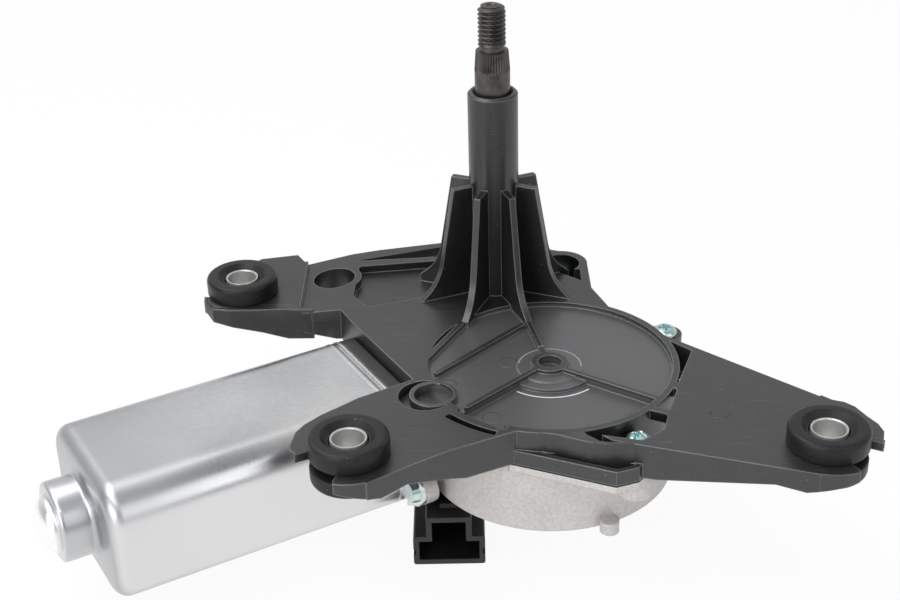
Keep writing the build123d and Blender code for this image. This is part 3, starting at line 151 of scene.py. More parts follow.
# a math node fed by numbers or by other nodes
def mathNode(tree, operation, *values):
    node = tree.nodes.new("ShaderNodeMath")
    node.operation = operation
    for socket, value in zip(node.inputs, values):
        if isinstance(value, (int, float)):
            socket.default_value = value
        else:
            tree.links.new(value, socket)
    return node.outputs[0]


# a value carried from one range to another and held at its ends
def rampNode(tree, source, fromLow, fromHigh, toLow, toHigh):
    node = tree.nodes.new("ShaderNodeMapRange")
    node.inputs["From Min"].default_value, node.inputs["From Max"].default_value = fromLow, fromHigh
    node.inputs["To Min"].default_value, node.inputs["To Max"].default_value = toLow, toHigh
    tree.links.new(source, node.inputs["Value"])
    return node


# what the finishes share: where each noise peaks, the tints, and sizes in millimetres
touch = {
    "stain": {"scale": 14.0, "peak": (0.52, 0.72), "most": 0.4},
    "topShade": {"most": 0.96, "warmth": (1.0, 0.97, 0.94)},
    "pools": {"edge": 1.5, "lift": 0.1},
    "wear": {"radius": 0.6, "turned": (0.84, 0.99), "least": 0.4, "tint": (0.27, 0.27, 0.273)},
    "dust": {"scale": 1300.0, "peak": (0.76, 0.8), "tint": (0.3, 0.29, 0.27)},
    "scuffs": {"scale": 62.0, "peak": (0.66, 0.74), "lanes": ((25.0, 0.0), (-48.0, 3.0)), "drawn": 34.0, "gain": 4,
               "tint": grey(0.16)},
    "marks": {"edge": 0.12, "deep": 0.25},
    "bevelSamples": 6,
}


# one finish: noise on object coordinates for colour and roughness, fine grain as bump over eased edges
def finish(name, settings):
    material = bpy.data.materials.new(name)
    material.use_nodes = True
    tree = material.node_tree
    tree.nodes.clear()
    add, link = tree.nodes.new, tree.links.new
    output = add("ShaderNodeOutputMaterial")
    shader = add("ShaderNodeBsdfPrincipled")
    link(shader.outputs["BSDF"], output.inputs["Surface"])
    shader.inputs["Metallic"].default_value = settings.get("metallic", 0.0)
    shader.inputs["Specular IOR Level"].default_value = settings.get("specular", 0.5)
    place = add("ShaderNodeTexCoord")
    apart = add("ShaderNodeSeparateXYZ")
    link(place.outputs["Object"], apart.inputs[0])

    def mapped(rotation, scale, shift=0.0):
        node = add("ShaderNodeMapping")
        node.inputs["Rotation"].default_value = (0, 0, math.radians(rotation))
        node.inputs["Location"].default_value = (shift, shift, 0)
        node.inputs["Scale"].default_value = scale
        link(place.outputs["Object"], node.inputs["Vector"])
        return node.outputs["Vector"]

    def noise(scale, detail, source=place.outputs["Object"]):
        field = add("ShaderNodeTexNoise")
        field.inputs["Scale"].default_value = scale
        field.inputs["Detail"].default_value = detail
        link(source, field.inputs["Vector"])
        return field.outputs["Fac"]

    def spread(source, low, high, fromLow=0.35, fromHigh=0.65):
        return rampNode(tree, source, fromLow, fromHigh, low, high).outputs["Result"]

    def sums(operation, *values):
        return mathNode(tree, operation, *values)

    def eased(radius):
        bevel = add("ShaderNodeBevel")
        bevel.samples = touch["bevelSamples"]
        bevel.inputs["Radius"].default_value = radius * mm
        return bevel.outputs["Normal"]

    # offsets and distance in plan from a point
    def planFrom(x, y):
        dx = sums("SUBTRACT", apart.outputs["X"], x * mm)
        dy = sums("SUBTRACT", apart.outputs["Y"], y * mm)
        return dx, dy, sums("SQRT", sums("ADD", sums("MULTIPLY", dx, dx), sums("MULTIPLY", dy, dy)))

    def blended(factor, first, second, way="MIX"):
        node = add("ShaderNodeMix")
        node.data_type = "RGBA"
        node.blend_type = way
        for socket, value in (("Factor", factor), ("A", first), ("B", second)):
            if isinstance(value, tuple):
                node.inputs[socket].default_value = (*value, 1)
            elif isinstance(value, float):
                node.inputs[socket].default_value = value
            else:
                link(value, node.inputs[socket])
        return node.outputs["Result"]

    # base colour: two tints by slow noise, darkened a little by the grain
    cloud = noise(settings.get("cloudScale", 60.0), 6.0)
    grain = noise(settings.get("grainScale", 1500.0), 3.0,
                  mapped(settings.get("heading", 0.0), settings.get("stretch", (1, 1, 1))))
    colour = blended(spread(cloud, 0.0, 1.0), settings["base"], settings.get("second", settings["base"]))
    greyGrain = add("ShaderNodeCombineColor")
    level = spread(grain, 0.55, 1.0)
    for channel in ("Red", "Green", "Blue"):
        link(level, greyGrain.inputs[channel])
    colour = blended(settings.get("grainColour", 0.2), colour, greyGrain.outputs["Color"], "MULTIPLY")
    link(spread(cloud, *settings["rough"]), shader.inputs["Roughness"])

    # stain: broad thin patches of a second tint where slow noise peaks
    if "stain" in settings:
        t = touch["stain"]
        colour = blended(spread(noise(t["scale"], 5.0), 0.0, t["most"], *t["peak"]), colour, settings["stain"])
    # painted shade: darker above a height, by the object's own z
    if "topShade" in settings:
        low, high, depth = settings["topShade"]
        t = touch["topShade"]
        colour = blended(spread(apart.outputs["Z"], 0.0, t["most"], low * mm, high * mm), colour,
                         tuple(depth * share for share in t["warmth"]))
    # painted light and shade: toward a darker or paler tint along a direction, from one distance to another in
    # millimetres
    for way, low, high, strength, tint in settings.get("shades", ()):
        along = 0.0
        for axis, share in zip("XYZ", way):
            along = sums("ADD", along, sums("MULTIPLY", apart.outputs[axis], float(share)))
        colour = blended(spread(along, 0.0, strength, low * mm, high * mm), colour, tint)
    # painted light and shade: toward a tint inside a circle in plan and below a height
    for x, y, radius, ceiling, strength, tint in settings.get("pools", ()):
        t = touch["pools"]
        inside = spread(planFrom(x, y)[2], 1.0, 0.0, (radius - t["edge"]) * mm, radius * mm)
        under = spread(apart.outputs["Z"], strength, 0.0, (ceiling - t["lift"]) * mm, ceiling * mm)
        colour = blended(sums("MULTIPLY", inside, under), colour, tint)
    # painted highlight: the turn between the eased and the true normal picks out edges, and these are painted paler, as
    # where edges catch the light
    if "wear" in settings:
        t = touch["wear"]
        facing = add("ShaderNodeVectorMath")
        facing.operation = "DOT_PRODUCT"
        link(eased(t["radius"]), facing.inputs[0])
        link(add("ShaderNodeNewGeometry").outputs["Normal"], facing.inputs[1])
        edgeGlint = sums("MULTIPLY", spread(facing.outputs["Value"], 1.0, 0.0, *t["turned"]), settings["wear"])
        colour = blended(sums("MULTIPLY", edgeGlint, spread(cloud, t["least"], 1.0)), colour, t["tint"])
    # dust: sparse specks where very fine noise peaks
    if "dust" in settings:
        t = touch["dust"]
        colour = blended(spread(noise(t["scale"], 1.0), 0.0, settings["dust"], *t["peak"]), colour, t["tint"])
    # scuffs: noise drawn out into hairlines two ways, kept only where it peaks, lightens the colour
    if "scuffs" in settings:
        t = touch["scuffs"]
        total = 0.0
        for heading, shift in t["lanes"]:
            lane = noise(t["scale"], 2.0, mapped(heading, (1.0, t["drawn"], t["drawn"]), shift))
            total = sums("ADD", total, spread(lane, 0.0, 1.0, *t["peak"]))
        colour = blended(sums("MULTIPLY", total, settings["scuffs"] * t["gain"]), colour, t["tint"])
    # bands: a tint between two radii and two angles round a centre, above a height, painted as shadow in a groove and
    # as highlight along an edge
    for x, y, radius, half, start, end, floorAt, tint in settings.get("bands", ()):
        dx, dy, span = planFrom(x, y)
        band = spread(sums("ABSOLUTE", sums("SUBTRACT", span, radius * mm)), 1.0, 0.0, half * 0.7 * mm, half * 1.3 * mm)
        middle, reach = math.radians((start + end) / 2), math.radians((end - start) / 2)
        off = sums("ABSOLUTE", sums("SUBTRACT", sums("ARCTAN2", dy, dx), middle))
        sweep = spread(off, 1.0, 0.0, reach - 0.01, reach + 0.01)
        above = spread(apart.outputs["Z"], 0.0, 1.0, (floorAt - 0.05) * mm, (floorAt + 0.05) * mm)
        colour = blended(sums("MULTIPLY", sums("MULTIPLY", band, sweep), above), colour, tint)
    link(colour, shader.inputs["Base Color"])

    bump = add("ShaderNodeBump")
    bump.inputs["Strength"].default_value = settings.get("bump", 0.15)
    bump.inputs["Distance"].default_value = settings.get("bumpDepth", 0.05) * mm
    link(grain, bump.inputs["Height"])
    if "ease" in settings:
        link(eased(settings["ease"]), bump.inputs["Normal"])
    # ejector marks: a shallow step on a circle of the given radius round each centre, as bump
    if "marks" in settings:
        t = touch["marks"]
        discs = 0.0
        for x, y, radius in settings["marks"]:
            step = spread(planFrom(x, y)[2], 1.0, 0.0, (radius - t["edge"]) * mm, (radius + t["edge"]) * mm)
            discs = sums("ADD", discs, step)
        stamp = add("ShaderNodeBump")
        stamp.inputs["Strength"].default_value = 1.0
        stamp.inputs["Distance"].default_value = t["deep"] * mm
        link(discs, stamp.inputs["Height"])
        link(bump.outputs["Normal"], stamp.inputs["Normal"])
        bump = stamp
    link(bump.outputs["Normal"], shader.inputs["Normal"])
    return material


# the can's far end and its near side, measured along the motor and across it
outward, sideward = -alongMotor, -acrossMotor
canPoints = np.empty(3 * len(nodes["motor_can"].data.vertices))
nodes["motor_can"].data.vertices.foreach_get("co", canPoints)
canPoints = canPoints.reshape(-1, 3) / mm
noseAt = float((canPoints @ outward).max())
sideAt = float((canPoints[canPoints @ outward > noseAt - 60] @ sideward).max())
print("can nose and side:", round(noseAt, 1), round(sideAt, 1))

# painted shading: direction, start, end, strength, tint; painted pools: x, y, radius, ceiling, strength, tint
# bands, painted shadow and highlight: x, y, radius, half width, start and end angle, floor, tint; marks: x, y, radius
finishes = {
    "coverPlastic": {"base": (0.0175, 0.0170, 0.0172), "second": (0.0235, 0.0228, 0.0230), "rough": (0.30, 0.42),
                     "cloudScale": 42, "grainScale": 2300, "bump": 0.34, "bumpDepth": 0.07, "grainColour": 0.3,
                     # painted highlight on the edges, beside real scuffs and dust
                     "specular": 0.8, "ease": 0.45, "scuffs": 0.05, "wear": 0.85, "dust": 0.5,
                     # painted shade: the cover darker towards its top and towards its back
                     "shades": [((0, 0, 1), 16.0, 42.0, 0.8, grey(0.004)), ((0, 1, 0), -32.0, 0.0, 0.7, grey(0.004))],
                     # painted light: a paler pool on the shadowed floor of the gear recess; painted shade: a dark pool
                     # beside the right arm
                     "pools": [(*gearCentre, 35.0, -5.2, 0.9, (0.076, 0.075, 0.075)),
                               (39.0, -75.5, 9.5, -5.2, 0.95, grey(0.001))],
                     # painted shadow in the slot groove; painted highlights along the ring edges round the boss
                     "bands": [(*gearCentre, 38.2, 1.0, -137.5, -114.0, -7.4, grey(0.001)),
                               (*gearCentre, 14.7, 0.2, -130.0, -47.0, -30.0, grey(0.75)),
                               (*gearCentre, 8.6, 0.16, -6.0, 172.0, -30.0, grey(0.3))],
                     "marks": [(2.6, -42.7, 2.5), (-2.4, -69.0, 2.5), (-14.2, -53.6, 2.5), (56.8, -72.6, 2.5)]},
    "grommetRubber": {"base": (0.012, 0.012, 0.013), "second": (0.019, 0.018, 0.019), "rough": (0.34, 0.5),
                      "cloudScale": 90, "grainScale": 3000, "bump": 0.15, "specular": 0.28, "dust": 0.4},
    "gasketRubber": {"base": (0.02, 0.02, 0.02), "rough": (0.6, 0.75)},
    "casting": {"base": (0.585, 0.555, 0.53), "second": (0.67, 0.635, 0.61), "rough": (0.45, 0.62), "metallic": 0.3,
                "cloudScale": 48, "grainScale": 1100, "bump": 0.55, "bumpDepth": 0.12, "grainColour": 0.34, "ease": 0.5,
                # painted shade: the casting darker on its highest parts
                "topShade": (-12.5, -9.8, 0.03)},
    "canSteel": {"base": (0.58, 0.585, 0.59), "second": (0.66, 0.665, 0.67), "rough": (0.27, 0.4), "metallic": 0.95,
                 "cloudScale": 30, "grainScale": 900, "stretch": (0.8, 1.2, 1.2), "heading": -motorTurn, "bump": 0.2,
                 "bumpDepth": 0.035, "grainColour": 0.2, "ease": 0.9, "stain": (0.62, 0.56, 0.42),
                 # painted shade towards the can's far end, undone again on the boss; painted highlight along the near
                 # side and on the nose
                 "shades": [(outward, noseAt - 62, noseAt - 26, 0.8, (0.43, 0.435, 0.44)),
                            (outward, noseAt - 13.0, noseAt - 12.0, 0.8, (0.58, 0.585, 0.60)),
                            (sideward, sideAt - 3.0, sideAt - 0.8, 0.85, (0.78, 0.78, 0.785)),
                            (outward, noseAt - 5.0, noseAt - 3.0, 1.0, grey(0.97))]},
    "sleeveSteel": {"base": (0.63, 0.63, 0.61), "second": (0.54, 0.54, 0.52), "rough": (0.3, 0.42), "metallic": 0.75},
    "screwZinc": {"base": (0.42, 0.66, 0.64), "second": (0.72, 0.80, 0.78), "rough": (0.2, 0.32), "metallic": 0.9,
                  "cloudScale": 420},
    "shaftSteel": {"base": (0.055, 0.050, 0.047), "second": (0.12, 0.108, 0.1), "rough": (0.3, 0.45), "metallic": 0.85,
                   "cloudScale": 260, "grainScale": 2400, "bump": 0.2},
    "bronze": {"base": (0.5, 0.35, 0.18), "second": (0.42, 0.3, 0.16), "rough": (0.35, 0.5), "metallic": 0.9},
    "springSteel": {"base": (0.4, 0.4, 0.41), "second": (0.5, 0.5, 0.5), "rough": (0.25, 0.35), "metallic": 1.0},
    "gearSteel": {"base": (0.45, 0.45, 0.46), "second": (0.36, 0.36, 0.37), "rough": (0.25, 0.4), "metallic": 1.0},
    "gearPlastic": {"base": (0.72, 0.70, 0.62), "second": (0.66, 0.63, 0.55), "rough": (0.3, 0.4)},
    "copper": {"base": (0.72, 0.36, 0.2), "second": (0.6, 0.3, 0.17), "rough": (0.25, 0.4), "metallic": 1.0},
    "switchPlastic": {"base": (0.12, 0.1, 0.08), "second": (0.15, 0.12, 0.1), "rough": (0.4, 0.5)},
    "lamination": {"base": (0.3, 0.3, 0.31), "second": (0.24, 0.24, 0.25), "rough": (0.35, 0.5), "metallic": 0.9,
                   "grainScale": 900, "stretch": (8, 0.2, 0.2), "heading": -motorTurn},
    "ferrite": {"base": (0.05, 0.05, 0.055), "second": (0.07, 0.07, 0.07), "rough": (0.5, 0.7)},
    "carbon": {"base": (0.03, 0.03, 0.03), "second": (0.05, 0.05, 0.05), "rough": (0.5, 0.65)},
    "connectorPlastic": {"base": (0.010, 0.010, 0.011), "second": (0.016, 0.016, 0.017), "rough": (0.3, 0.42),
                         "grainScale": 2600, "bump": 0.12, "ease": 0.3},
    "pinMetal": {"base": (0.85, 0.82, 0.72), "second": (0.75, 0.7, 0.6), "rough": (0.18, 0.28), "metallic": 1.0},
}
made = {name: finish(name, settings) for name, settings in finishes.items()}
print("finishes made:", len(made))


# a slot's name with its words run together is its finish's name
def coat(piece, slotName):
    first, *rest = slotName.split("_")
    piece.data.materials.clear()
    piece.data.materials.append(made[first + "".join(word.capitalize() for word in rest)])


for part in frame["record"]["subparts"]:
    coat(nodes[part["node"]], part["material_slot"])
print("nodes coated")


def dress(piece, slotName, body="root", stands=()):
    coat(piece, slotName)
    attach(piece, body)
    if stands:
        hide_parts(*stands)
    return piece


# output shaft: spun steps, a knurled taper and a right-hand thread cut into the end
shaft = {
    "foot": [(0, -19.2), (3.1, -19.2), (3.4, -18.9), (3.4, -18.6), (2.7, -18.6), (2.7, -18.0), (3.4, -18.0),
             (3.4, -15.4), (4.0, -15.4), (4.0, -10.2), (5.0, -10.2), (5.0, 20.0), (5.0, 60.0)],
    "bodyR": 5.0, "knurlLow": 64.0, "knurlHigh": 69.6, "knurlTopR": 4.6, "knurlTeeth": 36, "knurlDepth": 0.34,
    "step": 0.12, "neckLow": 70.4, "neckHigh": 71.0, "neckR": (3.5, 3.4),
    "threadLow": 71.3, "top": 82.5, "threadR": 3.9, "threadDepth": 0.66, "pitch": 1.25, "tipR": 3.0,
    "centreMark": [(1.6, 0.0), (1.3, -0.35), (0, -0.5)], "columns": 216, "sharp": 38,
}


def makeShaft():
    s = shaft
    z = np.concatenate([
        np.linspace(s["knurlLow"] - 0.6, s["knurlHigh"], 24), [s["knurlHigh"] + s["step"], s["neckLow"], s["neckHigh"]],
        np.linspace(s["threadLow"], s["top"] - 0.02, 126), [s["top"]],
    ])
    # taper: radius by straight runs from body to neck, and by height below the top on the chamfered tip
    taper = np.interp(z, [s["knurlLow"], s["knurlHigh"], s["knurlHigh"] + s["step"], s["neckHigh"], s["threadLow"]],
                      [s["bodyR"], s["knurlTopR"], *s["neckR"], s["threadR"] - 0.1])
    taper = np.where(z >= s["threadLow"], np.minimum(s["threadR"], s["tipR"] + (s["top"] - z) * 1.0), taper)
    angle = np.linspace(0, turn, s["columns"], endpoint=False)[None, :]
    zz = z[:, None]
    # knurl: radius falls as a rounded cosine of the angle, faded in over the taper's first and last half millimetre
    fade = np.clip((zz - s["knurlLow"] + 0.4) / 0.8, 0, 1) * (zz <= s["knurlHigh"] + 0.01)
    ridge = s["knurlDepth"] * (0.5 - 0.5 * np.cos(s["knurlTeeth"] * angle)) * fade
    # thread: radius falls as a triangle wave of height over pitch less angle over a turn, faded in over one pitch
    phase = (zz / s["pitch"] - angle / turn) % 1.0
    wave = np.clip(1.3 * np.abs(2 * phase - 1) - 0.15, 0, 1)
    groove = s["threadDepth"] * wave * np.clip((zz - s["threadLow"]) / s["pitch"], 0, 1) * (zz >= s["threadLow"])
    radius = taper[:, None] - ridge - groove
    lower = spun(np.array(s["foot"], float), (0, 0), s["columns"])
    upper = np.stack([radius * np.cos(angle), radius * np.sin(angle), zz + 0 * angle], axis=-1)
    cap = spun(np.array(s["centreMark"]) + (0, s["top"]), (0, 0), s["columns"])
    piece = gridMesh("outputShaftCut", np.concatenate([lower, upper, cap]))
    piece.data.set_sharp_from_angle(angle=math.radians(s["sharp"]))
    return dress(piece, "shaft_steel", "output", ["output_shaft"])


makeShaft()
print("shaft made")

# grommets and sleeves: profiles of radius, height and rounding, spun round each seat
grommet = {"proud": 0.9, "flange": 10.5, "underFlange": 10.4, "neck": 7.2, "top": -4.6, "under": -7.6, "foot": -12.0,
           "bore": 5.25, "dishR": 7.2, "dishDeep": 1.5, "columns": 112, "sharp": 40}
sleeve = {"profile": [(4.15, -11.75), (4.3, -12.0), (4.65, -12.0), (4.85, -11.75), (4.85, -0.3), (4.7, 0.0), (4.4, 0.0),
                      (4.15, -0.25), (4.15, -11.75)], "columns": 96, "sharp": 35}


def makeGrommets():
    g = grommet
    rows = [(g["bore"], g["foot"]), (g["underFlange"], g["foot"], 1.4), (g["underFlange"], g["under"], 0.5),
            (g["neck"], g["under"]), (g["neck"], g["top"]), (g["flange"], g["top"], 0.5),
            (g["flange"], -2.3), (g["flange"], g["proud"], 1.9), (g["dishR"], g["proud"], 0.5),
            (g["bore"] + 0.5, g["proud"] - g["dishDeep"], 0.4), (g["bore"], g["proud"] - g["dishDeep"] - 0.1),
            (g["bore"], -6.0), (g["bore"], g["foot"])]
    for side, seat in seats.items():
        body = gridMesh("grommetBody." + side, spun(roundProfile(rows), seat, g["columns"]), closeRows=True)
        body.data.set_sharp_from_angle(angle=math.radians(g["sharp"]))
        dress(body, "grommet_rubber", "root", ["grommet_" + side])
        tube = gridMesh("sleeveTube." + side, spun(np.array(sleeve["profile"], float), seat, sleeve["columns"]),
                        closeRows=True)
        tube.data.set_sharp_from_angle(angle=math.radians(sleeve["sharp"]))
        dress(tube, "sleeve_steel", "root", ["sleeve_" + side])


makeGrommets()
print("grommets made")

# pan-head screws with a cross recess: x, y and height of each seat, and how much taller its head is
screw = {"headR": 3.5, "headHigh": 2.2, "shankR": 1.9, "long": 9.0, "crossHalf": 0.55, "crossReach": 2.1,
         "crossDeep": 1.2, "crossTurn": 0.5, "columns": 96, "sharp": 42,
         "spots": [(35.02, -79.03, -9.7, 1.1), (48.49, -21.03, -10.4, 0.0), (20.5, 13.2, -12.1, 0.0),
                   (*wellCentre, -12.1, 0.0)]}


def makeScrews():
    s = screw
    heads = []
    for number, (x, y, seat, taller) in enumerate(s["spots"]):
        radius = np.concatenate([np.linspace(0, s["headR"] * 0.98, 40), [s["headR"], s["headR"]]])
        angle = np.linspace(0, turn, s["columns"], endpoint=False)
        # dome: height falls with the fourth power of the radius; the cross is two crossing slots with sloped walls
        dome = (s["headHigh"] + taller) * (1 - 0.62 * (radius / s["headR"]) ** 4)
        dome[-1] = 0.0
        turned = angle + s["crossTurn"] + number
        flat = radius[:, None] * np.stack([np.cos(turned), np.sin(turned)])[:, None]
        across = np.minimum(np.abs(flat[0]), np.abs(flat[1]))
        reach = np.maximum(np.abs(flat[0]), np.abs(flat[1]))
        slot = np.clip((s["crossHalf"] - across) / 0.22, 0, 1) * np.clip((s["crossReach"] - reach) / 0.5, 0, 1)
        height = dome[:, None] - s["crossDeep"] * slot
        top = np.stack([x + radius[:, None] * np.cos(angle), y + radius[:, None] * np.sin(angle), seat + height],
                       axis=-1)
        shank = [(s["shankR"], 0), (s["shankR"], 0.6 - s["long"]), (s["shankR"] - 0.6, -s["long"]), (0, -s["long"])]
        low = spun(np.array(shank, float) + (0, seat), (x, y), s["columns"])
        piece = gridMesh("screwPart%d" % number, np.concatenate([top, low])[::-1])
        piece.data.set_sharp_from_angle(angle=math.radians(s["sharp"]))
        heads.append(piece)
    dress(joinPieces("coverScrewSet", heads), "screw_zinc", "root", ["cover_screws"])


makeScrews()
print("screws made")

# cover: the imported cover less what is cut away, so that it has thin arm ends, outer tabs of plate only,
# fork mouths with round noses, curved back edges, a slot groove and a hollow in the ledge
cover = {
    "wedges": {"wedgeRight": (gearCentre, seats["right"], 43.5, 6.2),
               "wedgeLeft": (gearCentre, seats["left"], 43.5, 6.2),
               "wedgeRear": ((-48.8, 7.2), seats["rear"], 4.0, 6.6)},  # arm's root, seat, clear of the root, depth
    "tabs": {"tabRight": (94.7, -84.5, 6.5), "tabLeft": (-51.7, -84.5, 6.5)}, "tabBand": (-16, -7.1),
    "mouths": {"mouthLeft": ("left", 259.0, 186.0), "mouthRight": ("right", -70.0, -5.0)}, "mouthBand": (-16, -3),
    "nose": [(4.0, -3.0), (8.6, -3.0), (9.4, 0.5), (10.8, 4.0), (12.4, 5.0), (13.8, 3.5), (14.8, -1.0), (15.4, -5.0),
             (26.0, -5.0)],  # radius from the seat and degrees into the fork
    "backs": {
        "backLeft": [(-38.8, -62.4), (-47.5, -69.9), (-51.3, -74.1), (-53.4, -77.9), (-54.5, -81.8), (-54.0, -85.9),
                     (-72, -85.9), (-72, -60), (-38.8, -60)],
        "backRight": [(84.5, -64.9), (87.0, -67.3), (89.8, -68.4), (92.2, -70.8), (94.2, -75.3), (96.3, -79.1),
                      (97.0, -82.7), (96.0, -86.5), (115, -86.5), (115, -60), (84.5, -60)]}, "backBand": (-17, -3),
    "slot": (37.25, 39.15, -137.5, -114), "slotBand": (-7.3, -3),  # inner and outer radius, start and end angle
    "hollow": [(10.0, -80.7), (28.9, -88.7), (33.4, -87.1), (33.6, -86.4), (28.0, -84.7), (22.6, -82.0),
               (16.0, -81.2)], "hollowBand": (-12.4, -9.9),
    "leastFaces": 4000, "sharp": 32,
}


# a plan outline carried upright from the low to the high level
def prism(name, outline, band):
    outline = np.array(outline, float)
    rings = [np.column_stack([outline, np.full(len(outline), level)]) for level in band]
    return ringSolid(name, np.array(rings))


# a wedge under an arm: its face starts at the skirt's edge and rises by the slope towards the arm's end
def armWedge(name, root, seat, clear, deep):
    root, seat = np.array(root, float), np.array(seat, float)
    run = np.linalg.norm(seat - root)
    ahead = (seat - root) / run
    aside = np.array([-ahead[1], ahead[0]])
    profile = np.array([(clear, -15.6), (clear, -14.6), (run - 7, -3.7 - deep), (run + 0.5, -4.6 - deep),
                        (run + 11, -7.75), (run + 26, -7.75), (run + 26, -15.6)])
    rings = [np.column_stack([root + ahead * profile[:, :1] + aside * off, profile[:, 1]]) for off in (-30, 30)]
    return ringSolid(name, np.array(rings))


# plan outlines: a full circle, and a curved band that goes out at the outer radius and back at the inner one
def disc(x, y, radius, count=40):
    angle = turn * np.arange(count) / count
    return np.column_stack([x + radius * np.cos(angle), y + radius * np.sin(angle)])


def arcBand(x, y, inner, outer, start, end, count=16):
    angle = np.radians(np.linspace(start, end, count))
    angle = np.concatenate([angle, angle[::-1]])
    radius = np.repeat([outer, inner], count)
    return np.column_stack([x + radius * np.cos(angle), y + radius * np.sin(angle)])


# the open mouth of a fork in polar steps round the seat: it ends on round noses at both sides
def forkMouth(seat, front, back):
    side = 1.0 if back > front else -1.0
    radius, into = np.array(cover["nose"]).T
    angle = np.radians(np.concatenate([front + side * into, back - side * into[::-1]]))
    radius = np.concatenate([radius, radius[::-1]])
    return np.column_stack([seat[0] + radius * np.cos(angle), seat[1] + radius * np.sin(angle)])


def evaluatedMesh(piece):
    return bpy.data.meshes.new_from_object(piece.evaluated_get(bpy.context.evaluated_depsgraph_get()))


def makeCover():
    c = cover
    body = bpy.data.objects.new("coverBody", nodes["cover"].data.copy())
    bpy.context.scene.collection.objects.link(body)
    work = bmesh.new()
    work.from_mesh(body.data)
    bmesh.ops.remove_doubles(work, verts=work.verts, dist=1e-6)
    work.to_mesh(body.data)
    work.free()
    cutters = [armWedge(name, *sizes) for name, sizes in c["wedges"].items()]
    cutters += [prism(name, disc(*circle), c["tabBand"]) for name, circle in c["tabs"].items()]
    cutters += [prism(name, forkMouth(seats[side], front, back), c["mouthBand"])
                for name, (side, front, back) in c["mouths"].items()]
    cutters += [prism(name, outline, c["backBand"]) for name, outline in c["backs"].items()]
    cutters += [prism("slotGroove", arcBand(*gearCentre, *c["slot"]), c["slotBand"]),
                prism("ledgeHollow", c["hollow"], c["hollowBand"])]
    # one cut at a time; a cut that leaves too few faces has gone wrong and is skipped
    for cutter in cutters:
        cut = body.modifiers.new("cut", "BOOLEAN")
        cut.operation, cut.solver, cut.object = "DIFFERENCE", "EXACT", cutter
        shaped = evaluatedMesh(body)
        body.modifiers.clear()
        print("cover cut:", cutter.name, len(body.data.polygons), "to", len(shaped.polygons))
        if len(shaped.polygons) > c["leastFaces"]:
            body.data = shaped
        bpy.data.objects.remove(cutter)
    if "custom_normal" in body.data.attributes:
        body.data.attributes.remove(body.data.attributes["custom_normal"])
    body.data.polygons.foreach_set("use_smooth", [True] * len(body.data.polygons))
    body.data.set_sharp_from_angle(angle=math.radians(c["sharp"]))
    # face areas weigh in the corner normals, so large flats stay flat beside narrow rounds
    weigh = body.modifiers.new("weigh", "WEIGHTED_NORMAL")
    weigh.keep_sharp, weigh.weight, weigh.thresh = True, 100, 0.01
    shaped = evaluatedMesh(body)
    body.modifiers.clear()
    body.data = shaped
    print("cover faces:", len(nodes["cover"].data.polygons), "to", len(body.data.polygons))
    return dress(body, "cover_plastic", "root", ["cover"])


makeCover()
print("cover made")

# cover trims: a spun rim, slabs with plan outlines, and walls swept along a plan path
trims = {
    "wellRim": [(6.46, -7.8), (6.46, -4.9), (6.2, -4.57), (5.42, -4.57), (5.16, -4.9), (5.16, -11.0)],
    "crescentFloor": {"outline": disc(-19.6, -61.2, 7.6), "top": -6.9, "foot": -7.6},
    # apron of the rear arm in front of the grommet, deepest where the arm joins
    "rearApron": {"path": [(-86.9, -4.6), (-86.2, -8.2), (-83.6, -11.4), (-78.0, -12.4), (-69.2, -12.6), (-61.6, -12.4),
                           (-54.0, -13.06)],
                  "thick": 1.4, "top": -4.57, "feet": [-6.2, -7.0, -9.0, -10.4, -12.2, -14.58, -14.3]},
    "rearHornTop": {"outline": [(-86.8, -5.0), (-86.1, -8.3), (-83.5, -11.3), (-78.0, -12.3), (-69.2, -12.5),
                                (-61.6, -12.3), (-56.0, -12.6), (-60.0, -9.4), (-71.0, -8.9), (-80.0, -8.0),
                                (-84.0, -4.0)],
                    "top": -4.58, "foot": -7.1},
    # wall in front of the screw pocket, from the rim to the right arm
    "pocketWall": {"path": [(10.5, -80.2), (14.6, -81.3), (18.4, -83.2), (22.4, -84.9), (27.0, -85.9), (32.0, -86.1),
                            (37.0, -85.8), (42.6, -85.95)],
                   "thick": 1.2, "top": -4.57, "feet": [-12.3] * 8},
    "pocketFill": {"outline": [(10.0, -80.0), (14.6, -81.1), (18.4, -83.0), (22.4, -84.7), (25.6, -85.4),
                               (24.0, -83.4), (21.8, -81.2), (20.9, -79.3), (14.0, -79.9)],
                   "top": -4.575, "foot": -12.3},
    "sharp": 40,
}


def dressTrim(piece):
    piece.data.set_sharp_from_angle(angle=math.radians(trims["sharp"]))
    dress(piece, "cover_plastic")


# a wall's section with a rounded top carried along the path: plan = path + inward normal * depth into the wall
def sweptWall(name, path, thick, top, feet):
    path = np.array(path, float)
    stations = np.linspace(0, len(path) - 1, 6 * (len(path) - 1) + 1)
    x = np.interp(stations, range(len(path)), path[:, 0])
    y = np.interp(stations, range(len(path)), path[:, 1])
    foot = np.interp(stations, range(len(path)), feet)
    run = np.stack([np.gradient(x), np.gradient(y)], axis=-1)
    for _ in range(3):
        run[1:-1] = (run[:-2] + 2 * run[1:-1] + run[2:]) / 4
    run /= np.linalg.norm(run, axis=1)[:, None]
    r = min(0.45, thick * 0.3)
    bend = np.linspace(0, math.pi / 2, 5)
    depth = np.concatenate([[0], r - r * np.cos(bend), thick - r + r * np.sin(bend), [thick]])
    lift = np.concatenate([top - r + r * np.sin(bend), top - r + r * np.cos(bend)])
    level = np.column_stack([foot, np.tile(lift, (len(foot), 1)), foot])
    rows = np.stack([x[:, None] - run[:, 1:] * depth, y[:, None] + run[:, :1] * depth, level], axis=-1)
    ends = np.repeat(rows[[0, -1]].mean(1, keepdims=True), len(depth), axis=1)
    dressTrim(gridMesh(name, np.concatenate([ends[:1], rows, ends[1:]])))


